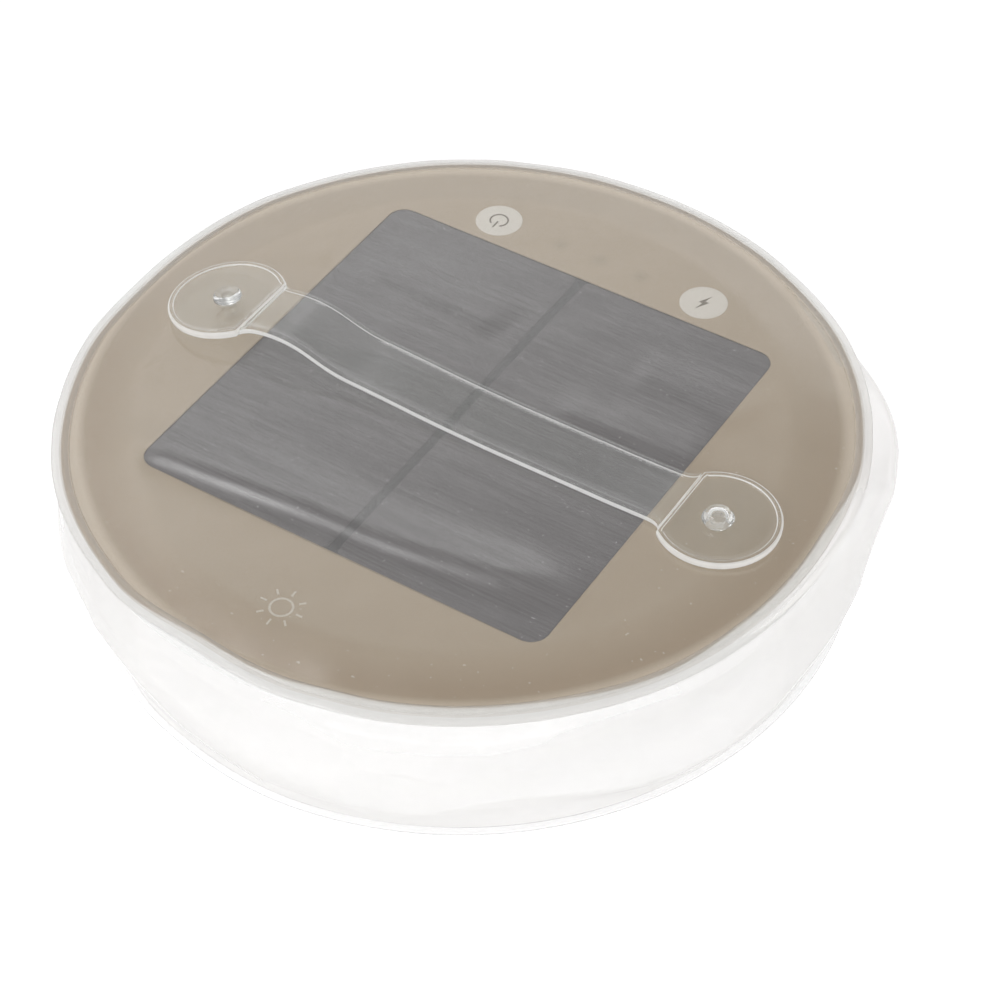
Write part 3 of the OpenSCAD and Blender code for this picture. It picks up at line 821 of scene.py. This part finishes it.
# plain sun mark printed on the near side of the window
parts = [ring_strip(0.5, -49.5, 1.55, 1.9, 0, 360, 0, 1)]
for k in range(8):
    a_ = k * PI / 4
    c_, s_ = math.cos(a_), math.sin(a_)
    q = [(2.6, -0.16), (3.7, -0.16), (3.7, 0.16), (2.6, 0.16)]
    parts.append(prism([(0.5 + x_ * c_ - y_ * s_, -49.5 + x_ * s_ + y_ * c_) for x_, y_ in q], 0, 1))
v, f = join(parts)
v[:, 2] = print_top(v[:, 0], v[:, 1]) + np.where(v[:, 2] > 0.5, 0.035, -0.03)
sun_mark = add_mesh("sun_mark", v, f, smooth=False)

# ------------------------------------------------------------------ strap
SY = -1.0             # centre line of the strap
Z0 = 26.6             # underside where it lies flat
ST = 1.0              # thickness
RIV, STUD = -44.3, 46.0
CL, CR = -37.45, 39.5
TAB_R = 9.8
TILT = math.radians(8.6)
RISE = [(-37.4, 2.6), (-36, 3.05), (-34, 3.55), (-32, 3.85), (-30, 3.95), (-28, 3.8), (-26, 3.4), (-24, 2.75),
        (-22, 2.1), (-20, 1.6), (-18, 1.35), (-14, 1.15), (-9, 0.85), (-4, 0.5), (1, 0.25), (7, 0.05), (12, 0.0),
        (30, 0.0), (35, 0.1), (39.45, 0.3)]
RX = np.array([p[0] for p in RISE])
RZ = np.array([p[1] for p in RISE])


def smooth_rise(x):
    """The strap's rise, smoothed over about 2 mm."""
    x = np.asarray(x, float)
    acc = 0
    for d, w in ((-1.6, 1), (-0.8, 2), (0, 3), (0.8, 2), (1.6, 1)):
        acc = acc + w * np.interp(x + d, RX, RZ)
    return acc / 9.0


# edge of the clear strap, from the underside up over the raised bead to the face:
# inset from the outline, height, and 1 where the strip up to the next point is an edge face, which takes the painted
# white highlight of the edge material
RIM = [(0.30, 0.0, 0), (0.10, 0.05, 1), (0.0, 0.22, 1), (0.0, 0.74, 1), (0.05, 0.96, 0), (0.17, 1.10, 0), (0.34, 1.14, 0),
       (0.86, 1.14, 1), (0.94, 1.06, 0), (1.0, 1.0, 0)]
TAB_RIM = [(0.30, 0.0, 0), (0.10, 0.05, 1), (0.0, 0.22, 1), (0.0, 0.78, 1), (0.05, 0.98, 1), (0.17, 1.12, 1), (0.34, 1.16, 0),
           (0.86, 1.16, 1), (0.96, 1.08, 1), (1.02, 1.0, 0)]


def half_width(x):
    """Half width of the strap, flaring into the tabs at both creases."""
    x = np.asarray(x, float)
    dl, dr = x - CL, CR - x
    return 5.65 + 1.1 * np.exp(-np.maximum(dl, 0) / 0.8) + 1.1 * np.exp(-np.maximum(dr, 0) / 0.8)


def strap_mesh():
    xs = np.concatenate([np.linspace(CL + 0.05, CL + 3, 16), np.linspace(CL + 3.4, CR - 3.4, 150), np.linspace(CR - 3, CR - 0.05, 16)])
    rows, kinds = [], None
    for x in xs:
        hw = float(half_width(x))
        pr, kd = [], []
        for q, z_, e_ in RIM:
            pr.append((hw - q, z_))
            kd.append(e_)
        for y_ in np.linspace(hw - 1.06, -hw + 1.06, 9)[1:-1]:
            pr.append((y_, 1.0))
            kd.append(0)
        for i in range(len(RIM) - 1, -1, -1):
            q, z_, _ = RIM[i]
            pr.append((-hw + q, z_))
            kd.append(RIM[i - 1][2] if i > 0 else 0)
        for y_ in np.linspace(-hw + 0.3, hw - 0.3, 7)[1:-1]:
            pr.append((y_, 0.0))
            kd.append(0)
        pr = np.array(pr)
        kinds = kd
        zc = Z0 + 0.05 + float(smooth_rise(x))
        dz = (float(smooth_rise(x + 0.2)) - float(smooth_rise(x - 0.2))) / 0.4
        l = math.hypot(1, dz)
        k = min(1.0, min(CR - x, x - CL) / 1.2)
        rows.append(np.stack([x - pr[:, 1] * dz / l * k, SY + pr[:, 0], zc + pr[:, 1] / l], -1))
    P_ = np.stack(rows)
    nu, nv, _ = P_.shape
    F_ = [tuple(q) for q in grid_faces(nu, nv, False, True)]
    M_ = list(np.tile(np.array(kinds), nu - 1))
    F_.append(tuple(range(nv)))
    F_.append(tuple((nu - 1) * nv + i for i in range(nv - 1, -1, -1)))
    return P_.reshape(-1, 3), F_, M_ + [1, 1]


def tab_mesh(cx_, chord_, side, tilt=0.0, z_base=Z0, n=170):
    """Round tab cut straight along its crease, with a raised bead round it. side is +1 when the chord lies at +X."""
    a0 = math.acos(chord_ / TAB_R)
    th_ = np.linspace(a0, 2 * PI - a0, n)
    ch = np.linspace(0, 1, 44)[1:-1]
    y0_ = TAB_R * math.sin(a0)
    ax, ay = TAB_R * np.cos(th_), TAB_R * np.sin(th_)
    OX = np.concatenate([ax, np.full(len(ch), chord_)])
    OY = np.concatenate([ay, -y0_ + 2 * y0_ * ch])
    # direction in which the rim is inset: radial on the arc, straight off the chord, turning between them at the corners
    nx = np.concatenate([np.cos(th_), np.ones(len(ch))])
    ny = np.concatenate([np.sin(th_), np.zeros(len(ch))])
    m_ = len(OX)
    for _ in range(5):
        nx = (np.roll(nx, 1) + nx + np.roll(nx, -1)) / 3
        ny = (np.roll(ny, 1) + ny + np.roll(ny, -1)) / 3
    l_ = np.hypot(nx, ny)
    nx, ny = nx / l_, ny / l_
    w = np.concatenate([np.ones(n), np.full(len(ch), 0.55)])     # the rim is narrower along the crease
    for _ in range(3):
        w = (np.roll(w, 1) + w + np.roll(w, -1)) / 3
    seq, kinds = [], []
    for q in (0.12, 0.3, 0.5, 0.7, 0.84):
        seq.append(np.stack([OX * q, OY * q, np.zeros(m_)], -1))
        kinds.append(0)
    for q, z_, e_ in TAB_RIM:
        seq.append(np.stack([OX - nx * q * w, OY - ny * q * w, np.full(m_, z_)], -1))
        kinds.append(e_)
    for q in (0.8, 0.66, 0.5, 0.36, 0.26, 0.12):
        seq.append(np.stack([OX * q, OY * q, np.full(m_, 1.0)], -1))
        kinds.append(0)
    P_ = np.stack(seq, 1)
    k_ = P_.shape[1]
    V_ = P_.reshape(-1, 3).copy()
    F_ = [tuple(q) for q in grid_faces(m_, k_, True)]
    M_ = list(np.tile(np.array(kinds[:-1]), m_))
    c0_ = len(V_)
    V_ = np.concatenate([V_, [[0, 0, 0.0], [0, 0, 1.0]]])
    for i in range(m_):
        k2 = (i + 1) % m_
        F_.append((c0_, k2 * k_, i * k_))
        F_.append((c0_ + 1, i * k_ + k_ - 1, k2 * k_ + k_ - 1))
        M_ += [0, 0]
    V_[:, 0] *= side
    V_[:, 2] += 0.05
    if tilt:
        x_, z_ = V_[:, 0] + TAB_R, V_[:, 2].copy()
        V_[:, 0] = x_ * math.cos(tilt) - z_ * math.sin(tilt) - TAB_R
        V_[:, 2] = x_ * math.sin(tilt) + z_ * math.cos(tilt)
    V_[:, 0] += cx_
    V_[:, 1] += SY
    V_[:, 2] += z_base
    return V_, F_, M_


lv, lf, lm = tab_mesh(RIV, CL - RIV + 0.08, 1, TILT)
sv, sf, sm = strap_mesh()
v, f = join([(lv, lf), (sv, sf)])
strap_main = add_mesh("strap_main", v, f, mats=lm + sm)

# snap tab, with its dome above and the socket below in one turned body
tv, tf, tm = tab_mesh(STUD, STUD - CR - 0.05, -1)
dome_prof = [(0, 28.2), (0.9, 28.2), (1.35, 28.12), (1.5, 27.9), (1.5, 26.66), (1.62, 26.64), (1.9, 26.7), (2.1, 27.0),
             (2.45, 27.55), (2.5, 27.66)] + [(2.32, 27.72), (2.24, 27.86), (2.18, 28.1)] \
    + arc_pts(1.28, 28.02, 0.86, 12, 72, 7) + [(1.1, 28.93), (0.6, 28.97), (0, 28.98)]
dv, df = lathe("dome", dome_prof, STUD, SY, 96)
v, f = join([(tv, tf), (dv, df)])
strap_snap = add_mesh("strap_snap_tab", v, f, mats=tm + [2] * len(df))

# rivet head on the fixed tab: a ring with a hollow centre
rz = Z0 + 0.05 + 1.0 + TAB_R * math.tan(TILT) + 0.0
head_prof = [(0, -0.25), (1.2, -0.25), (1.3, 0.02), (2.25, 0.03), (2.36, 0.15), (2.32, 0.38)] + arc_pts(1.75, 0.48, 0.52, 0, 100, 8) \
    + [(1.3, 0.9), (1.1, 0.62), (0.95, 0.5), (0.72, 0.55), (0.5, 0.66), (0.25, 0.7), (0, 0.7)]
hv, hf = lathe("rivet", head_prof, 0, 0, 72)
cT, sT = math.cos(TILT), math.sin(TILT)
x_, z_ = hv[:, 0].copy(), hv[:, 2].copy()
hv[:, 0], hv[:, 2] = x_ * cT - z_ * sT + RIV - 0.15, x_ * sT + z_ * cT + rz
hv[:, 1] += SY
post = lathe("post", [(0, 22.9), (2.9, 22.9), (3.0, 23.0), (3.0, 23.35), (1.2, 23.4), (1.2, rz - 0.2), (0, rz - 0.2)], RIV, SY, 48)
v, f = join([(hv, hf), post])
rivet = add_mesh("strap_rivet_head", v, f, mats=[0] * len(hf) + [1] * len(post[1]))

# ------------------------------------------------------------------ materials
def wet_patch(m, z_lo=26.0, z_hi=27.5):
    """1 where the strap's lower face has wetted onto the film's upper face, so that neither reflects."""
    x, y, z = m.xyz()
    nx = m.math("MULTIPLY_ADD", m.noise(120.0, 3.0), 0.0022, -0.0011)
    yy = m.math("ABSOLUTE", m.math("ADD", m.math("ADD", y, 0.001), nx))
    xa = m.math("ADD", x, nx)
    # rounded ends: an ellipse end on the left, an open end on the right
    ex = m.math("DIVIDE", m.math("MAXIMUM", m.math("SUBTRACT", -0.0125, xa), m.math("SUBTRACT", xa, 0.0185)), 0.0062)
    ex = m.math("MAXIMUM", ex, 0.0)
    ey = m.math("DIVIDE", yy, 0.0046)
    q = m.math("ADD", m.math("MULTIPLY", ex, ex), m.math("MULTIPLY", ey, ey))
    inside = m.math("LESS_THAN", q, 1.0)
    low = m.math("MULTIPLY", m.math("LESS_THAN", z, z_hi * MM), m.math("GREATER_THAN", z, z_lo * MM))
    return m.math("MULTIPLY", inside, low)


def mat_film_top():
    return film_material("clear_top_film", milk=0.008, edge=0.06, rough=0.17, crinkle=0.055, scale=30.0, fine=0.0, f0=0.045)


def mat_print():
    m = Mat("taupe_print")
    x, y, z = m.xyz()
    r = m.math("SQRT", m.math("ADD", m.math("MULTIPLY", x, x), m.math("MULTIPLY", y, y)))
    rn = m.math("MULTIPLY", r, 1 / 0.0635)
    big = m.noise(28.0, 4.0, 0.55)
    fine = m.noise(1600.0, 2.0, 0.6)
    base = m.mix(big, (0.430, 0.350, 0.265), (0.465, 0.385, 0.297))
    # painted shade: darker towards the strap's fixed end and the near rim, where the print lies away from the light
    painted_shade_brown = (0.375, 0.288, 0.205)
    edge = m.ramp(rn, [(0.0, (0, 0, 0)), (0.80, (0, 0, 0)), (0.905, (0.8, 0.8, 0.8)), (0.935, (0.7, 0.7, 0.7)), (0.955, (0.0, 0.0, 0.0)), (1.0, (0, 0, 0))])
    near = m.math("MULTIPLY_ADD", m.math("ADD", m.math("MULTIPLY", x, 0.2), m.math("MULTIPLY", y, -1.0)), 9.0, 0.55, clamp=True)
    c = m.mix(m.math("MULTIPLY", edge, near), base, painted_shade_brown)
    rim = m.ramp(rn, [(0.0, (0, 0, 0)), (0.925, (0, 0, 0)), (0.948, (1, 1, 1)), (1.0, (1, 1, 1))])
    c = m.mix(m.math("MULTIPLY", rim, 0.8), c, (0.62, 0.53, 0.43))
    # three faint level lights under the print
    spots = None
    for px in (-0.0076, 0.0, 0.0076):
        dx = m.math("SUBTRACT", x, px)
        dy = m.math("SUBTRACT", y, 0.042)
        d = m.math("SQRT", m.math("ADD", m.math("MULTIPLY", dx, dx), m.math("MULTIPLY", dy, dy)))
        g = m.math("SUBTRACT", 1.0, m.math("DIVIDE", d, 0.0019), clamp=True)
        spots = g if spots is None else m.math("ADD", spots, g)
    c = m.mix(m.math("MULTIPLY", spots, 0.22), c, lin(120, 112, 100))
    # dust
    dust = m.ramp(m.noise(2100.0, 0.0, 0.5), [(0.0, (0, 0, 0)), (0.82, (0, 0, 0)), (0.85, (1, 1, 1))])
    c = m.mix(m.math("MULTIPLY", dust, 0.5), c, (0.72, 0.68, 0.62))
    p = m.nt.nodes.new("ShaderNodeBsdfPrincipled")
    m.set(p, "Base Color", c)
    m.set(p, "Roughness", m.math("MULTIPLY_ADD", fine, 0.12, 0.5))
    m.set(p, "Normal", m.bump(fine, 0.06, 0.00005))
    p.inputs["Specular IOR Level"].default_value = 0.1
    return m.done(p.outputs[0])


def mat_cells():
    m = Mat("solar_cells_face")
    x, y, z = m.xyz()
    # fine contact fingers along the strap's direction, 0.74 mm apart
    ph = m.math("MULTIPLY", y, 2 * PI / 0.00074)
    wav = m.math("MULTIPLY_ADD", m.math("SINE", ph), 0.5, 0.5)
    lines = m.math("POWER", wav, 2.6)
    along = m.noise(60.0, 3.0, 0.6, vec=m.scaled(1.0, 22.0, 1.0))
    big = m.noise(22.0, 3.0, 0.55)
    brush = m.noise(60.0, 4.0, 0.65, vec=m.scaled(1.6, 22.0, 1.0))
    c = m.mix(big, (0.150, 0.138, 0.140), (0.170, 0.157, 0.159))
    c = m.mix(m.math("MULTIPLY", m.math("SUBTRACT", brush, 0.44, clamp=True), 2.2, clamp=True), c, (0.235, 0.226, 0.224))
    c = m.mix(m.math("MULTIPLY", lines, m.math("MULTIPLY_ADD", along, 0.9, -0.08, clamp=True)), c, (0.208, 0.196, 0.196))
    dust = m.ramp(m.noise(2100.0, 0.0, 0.5), [(0.0, (0, 0, 0)), (0.80, (0, 0, 0)), (0.83, (1, 1, 1))])
    c = m.mix(m.math("MULTIPLY", dust, 0.5), c, (0.5, 0.49, 0.48))
    p = m.nt.nodes.new("ShaderNodeBsdfPrincipled")
    m.set(p, "Base Color", c)
    m.set(p, "Roughness", m.math("MULTIPLY_ADD", along, 0.15, 0.42))
    m.set(p, "Normal", m.bump(lines, 0.08, 0.00003))
    p.inputs["Specular IOR Level"].default_value = 0.15
    return m.done(p.outputs[0])


def mat_back():
    m = Mat("window_backing")
    f = m.noise(300.0, 3.0, 0.6)
    c = m.mix(f, (0.098, 0.092, 0.092), (0.112, 0.105, 0.105))
    return m.done(m.principled(Base_Color=c, Roughness=m.math("MULTIPLY_ADD", f, 0.1, 0.45), Normal=m.bump(f, 0.05, 0.00004)))


def mat_pad():
    m = Mat("press_pad")
    f = m.noise(1200.0, 3.0, 0.6)
    c = m.mix(m.noise(300.0, 3.0), lin(208, 201, 191), lin(216, 209, 200))
    return m.done(m.principled(Base_Color=c, Roughness=m.math("MULTIPLY_ADD", f, 0.12, 0.4), Normal=m.bump(f, 0.06, 0.00004)))


def mat_mark(name, col):
    m = Mat(name)
    f = m.noise(1500.0, 3.0, 0.6)
    c = m.mix(f, tuple(k * 0.94 for k in col), col)
    return m.done(m.principled(Base_Color=c, Roughness=m.math("MULTIPLY_ADD", f, 0.1, 0.45), Normal=m.bump(f, 0.05, 0.00003)))


M = {}
M["top_film"] = mat_film_top()
M["side_film"] = film_material("side_film_clear", milk=0.24, edge=0.62, rough=0.16, crinkle=0.12, scale=40.0, fine=0.0, f0=0.05,
                               tint=(0.996, 0.995, 0.995), white=(0.945, 0.935, 0.932), grey=(0.66, 0.645, 0.635), edge_pow=1.9)
M["seam"] = film_material("welded_seam", milk=0.38, edge=0.5, rough=0.12, crinkle=0.12, scale=120.0, tint=(0.975, 0.973, 0.97),
                          white=(0.76, 0.75, 0.735), grey=(0.50, 0.48, 0.46), edge_pow=1.5)
M["seam_edge"] = film_material("seam_over_print", milk=0.45, edge=0.3, rough=0.12, crinkle=0.12, scale=200.0, tint=(0.96, 0.95, 0.93),
                               white=(0.74, 0.66, 0.57), grey=(0.55, 0.49, 0.42), edge_pow=1.5)
M["seam_weld"] = film_material("seam_weld_lines", milk=0.34, edge=0.55, rough=0.12, crinkle=0.7, scale=420.0, fine=0.5, tint=(0.965, 0.958, 0.95),
                               white=(0.66, 0.63, 0.59), grey=(0.36, 0.335, 0.305), edge_pow=1.2)
M["bottom_film"] = film_material("bottom_sheet_film", milk=0.28, edge=0.45, rough=0.16, crinkle=0.2, scale=80.0, tint=(0.995, 0.995, 0.995),
                                 white=(0.92, 0.915, 0.912), grey=(0.58, 0.58, 0.58))
M["pocket"] = film_material("pocket_film", milk=0.10, edge=0.25, rough=0.14, crinkle=0.3, scale=140.0)
M["print"] = mat_print()
M["cells"] = mat_cells()
M["backing"] = mat_back()
M["pad"] = mat_pad()
M["icon"] = mat_mark("symbol_print", (0.20, 0.165, 0.125))
M["mark"] = mat_mark("light_print", lin(205, 197, 184))
M["strap"] = strap_material("clear_strap", wet=wet_patch)
M["strap_edge"] = strap_edge_material("clear_strap_edge")
M["stud"] = glassy_material("clear_stud", tint=(0.98, 0.985, 0.985), rough=0.03, scale=400.0, milk=0.07)
M["housing"] = plastic("white_housing", (0.84, 0.84, 0.83), 0.42)
M["reflector"] = plastic("white_reflector", (0.92, 0.92, 0.92), 0.3)
M["pcb"] = plastic("board_green", (0.02, 0.13, 0.06), 0.4, coat=0.4)
M["black_board"] = plastic("board_black", (0.02, 0.02, 0.024), 0.45)
M["rubber"] = plastic("black_silicone", (0.03, 0.03, 0.032), 0.6)
M["chip"] = plastic("chip_black", (0.02, 0.02, 0.022), 0.5)
M["ferrite"] = plastic("ferrite_dark", (0.05, 0.05, 0.052), 0.55)
M["foam"] = plastic("foam_black", (0.03, 0.03, 0.03), 0.85, grain=500.0, bump=0.4)
M["red_wire"] = plastic("wire_red", (0.5, 0.02, 0.02), 0.4)
M["black_wire"] = plastic("wire_black", (0.02, 0.02, 0.02), 0.4)
M["ivory"] = plastic("nylon_ivory", (0.78, 0.74, 0.64), 0.45)
M["switch"] = plastic("switch_black", (0.03, 0.03, 0.034), 0.45)
M["led"] = plastic("led_phosphor", (0.9, 0.72, 0.18), 0.35, coat=0.6)
M["red_led"] = plastic("led_red", (0.75, 0.1, 0.08), 0.3, coat=0.6)
M["pouch"] = metal("pouch_foil", (0.62, 0.65, 0.68), 0.35)
M["steel"] = metal("screw_zinc", (0.66, 0.66, 0.68), 0.28)
M["ribbon"] = metal("ribbon_tin", (0.7, 0.7, 0.71), 0.3)
M["valve"] = film_material("milky_valve", milk=0.72, edge=0.2, rough=0.25, crinkle=0.1, scale=200.0, white=(0.86, 0.88, 0.9))
M["pipe"] = glassy_material("light_pipe", rough=0.08)


def lens_material():
    m = Mat("frosted_lens")
    f = m.noise(1400.0, 3.0, 0.6)
    nrm = m.bump(f, 0.25, 0.00008)
    d = m.mixs(0.45, m.shader("BsdfDiffuse", Color=(0.9, 0.9, 0.89, 1), Normal=nrm),
               m.shader("BsdfTranslucent", Color=(0.9, 0.9, 0.88, 1), Normal=nrm))
    t = m.mixs(0.72, m.shader("BsdfTransparent", Color=(0.95, 0.95, 0.94, 1)), d)
    g = m.shader("BsdfGlossy", Color=(1, 1, 1, 1), Roughness=0.3, Normal=nrm)
    return m.done(m.mixs(m.schlick(0.04), t, g))


M["lens"] = lens_material()


def give(ob, mat):
    ob.data.materials.clear()
    ob.data.materials.append(mat)


give(top_film, M["top_film"])
give(print_disc, M["print"])
for key in ("seam_edge", "seam_weld", "seam"):
    top_seam.data.materials.append(M[key])
give(bottom_film, M["bottom_film"])
give(side_film, M["side_film"])
give(window_back, M["backing"])
give(cell_faces, M["cells"])
give(power_pad, M["pad"])
give(level_pad, M["pad"])
give(power_icon, M["icon"])
give(level_icon, M["icon"])
give(sun_mark, M["mark"])
for ob in (strap_main, strap_snap):
    for key in ("strap", "strap_edge", "stud"):
        ob.data.materials.append(M[key])
for key in ("stud", "strap"):
    rivet.data.materials.append(M[key])

node_mats = {
    "valve_seat": "valve", "valve_stem": "valve", "valve_plug": "valve", "valve_flap": "valve", "pocket_sheet": "pocket",
    "cell_ribbons": "ribbon", "solar_board": "black_board", "upper_housing": "housing", "lens_cover": "lens",
    "gasket": "rubber", "reflector": "reflector", "circuit_board": "pcb", "lamp_leds": "led", "level_leds": "red_led",
    "level_light_pipes": "pipe", "board_chips": "chip", "inductor": "ferrite", "battery": "pouch", "battery_pad": "foam",
    "battery_wires": "red_wire", "battery_connector": "ivory", "solar_wires": "black_wire", "power_switch": "switch",
    "level_switch": "switch", "screws": "steel", "snap_stud": "stud"}
for node, key in node_mats.items():
    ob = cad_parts[node]
    give(ob, M[key])
    ob.data.polygons.foreach_set("use_smooth", np.ones(len(ob.data.polygons), bool))

# ------------------------------------------------------------------ who moves with what
for ob in (top_film, print_disc, top_seam, window_back, cell_faces, sun_mark, rivet):
    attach(ob, "lamp")
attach(bottom_film, "base")
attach(power_pad, "power_pad")
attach(power_icon, "power_pad")
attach(level_pad, "level_pad")
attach(level_icon, "level_pad")
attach(strap_snap, "strap_end")
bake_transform(side_film)
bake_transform(strap_main)

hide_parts("top_sheet")
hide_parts("graphic_disc")
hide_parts("solar_cover")
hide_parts("solar_cells")
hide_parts("bottom_sheet")
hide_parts("side_wall")
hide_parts("power_button")
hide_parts("level_button")
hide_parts("strap_left_tab", "strap")
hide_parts("strap_right_tab")
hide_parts("strap_rivet")

# ------------------------------------------------------------------ floor, world and lamps
fl = bpy.data.meshes.new("floor")
fl.from_pydata([(-6, -6, -0.0003), (6, -6, -0.0003), (6, 6, -0.0003), (-6, 6, -0.0003)], [], [(0, 1, 2, 3)])
floor = bpy.data.objects.new("floor", fl)
bpy.context.scene.collection.objects.link(floor)
fm = Mat("floor_white")
d = fm.shader("BsdfDiffuse", Color=(0.93, 0.93, 0.93, 1))
e = fm.n("Emission", Color=(1, 1, 1, 1), Strength=1.2).outputs[0]
floor.data.materials.append(fm.done(fm.mixs(0.70, d, e)))

world = bpy.data.worlds.new("studio")
bpy.context.scene.world = world
world.use_nodes = True
nt = world.node_tree
nt.nodes.clear()
wo = nt.nodes.new("ShaderNodeOutputWorld")
bg = nt.nodes.new("ShaderNodeBackground")
tc = nt.nodes.new("ShaderNodeTexCoord")
sp = nt.nodes.new("ShaderNodeSeparateXYZ")
rp = nt.nodes.new("ShaderNodeValToRGB")
mp = nt.nodes.new("ShaderNodeMath")
mp.operation = "MULTIPLY_ADD"
mp.inputs[1].default_value = 0.5
mp.inputs[2].default_value = 0.5
# a bright wall all round, higher on the left of the camera, under a dim ceiling
dotn = nt.nodes.new("ShaderNodeVectorMath")
dotn.operation = "DOT_PRODUCT"
dotn.inputs[1].default_value = (0.4 * right.x, 0.4 * right.y, 1.0)
nt.links.new(tc.outputs["Generated"], dotn.inputs[0])
mp.inputs[1].default_value = 0.45
nt.links.new(dotn.outputs["Value"], mp.inputs[0])
nt.links.new(mp.outputs[0], rp.inputs[0])
nt.nodes.remove(sp)
WORLD = [(-1.0, 0.95), (0.0, 1.0), (0.35, 1.0), (0.50, 1.08), (0.59, 1.45), (0.64, 1.40), (0.70, 0.86), (0.75, 0.38), (0.80, 0.36), (1.08, 0.38)]
el = rp.color_ramp.elements
while len(el) > 1:
    el.remove(el[-1])
el[0].position = 0.5 + 0.45 * WORLD[0][0]
el[0].color = (WORLD[0][1] / 1.5, WORLD[0][1] / 1.5, WORLD[0][1] / 1.5, 1)
for h_, w_ in WORLD[1:]:
    k = el.new(0.5 + 0.45 * h_)
    k.color = (w_ / 1.5, w_ / 1.5, w_ / 1.5, 1)
nt.links.new(rp.outputs[0], bg.inputs["Color"])
side = nt.nodes.new("ShaderNodeVectorMath")
side.operation = "DOT_PRODUCT"
side.inputs[1].default_value = (math.sin(_a), -math.cos(_a), 0.0)
nt.links.new(tc.outputs["Generated"], side.inputs[0])
gain = nt.nodes.new("ShaderNodeMapRange")
gain.inputs["From Min"].default_value = -0.1
gain.inputs["From Max"].default_value = 0.9
gain.inputs["To Min"].default_value = 1.5
gain.inputs["To Max"].default_value = 2.3
nt.links.new(side.outputs["Value"], gain.inputs["Value"])
nt.links.new(gain.outputs[0], bg.inputs["Strength"])
nt.links.new(bg.outputs[0], wo.inputs[0])


def area(name, loc, size, size_y, power, look=(0, 0, 0.02)):
    l = bpy.data.lights.new(name, "AREA")
    l.shape = "RECTANGLE"
    l.size, l.size_y = size, size_y
    l.energy = power
    ob = bpy.data.objects.new(name, l)
    bpy.context.scene.collection.objects.link(ob)
    ob.location = loc
    dvec = Vector(look) - Vector(loc)
    ob.rotation_euler = dvec.to_track_quat("-Z", "Y").to_euler()
    return ob


def dirvec(az, el_, d=1.2):
    """Place at azimuth az (0 = in front of an az-0 camera, growing to the right) and elevation el_."""
    a_, e_ = math.radians(az), math.radians(el_)
    return (d * math.sin(a_) * math.cos(e_), -d * math.cos(a_) * math.cos(e_), d * math.sin(e_))


# the lamp that the film's ridges catch
SOFT = Vector((-0.38, 0.035, 0.925)).normalized() * 1.25
area("softbox", tuple(SOFT), 0.26, 0.26, 1.30)

sc = bpy.context.scene
sc.view_settings.view_transform = "Standard"
sc.view_settings.look = "None"
sc.cycles.sampling_pattern = "TABULATED_SOBOL"
sc.cycles.transparent_max_bounces = 16
sc.cycles.transmission_bounces = 8
sc.cycles.diffuse_bounces = 3
sc.cycles.glossy_bounces = 3
sc.cycles.max_bounces = 9
# clear film lets the lamps through
for ob in (top_film, top_seam, side_film, bottom_film, strap_main, strap_snap):
    ob.visible_shadow = False
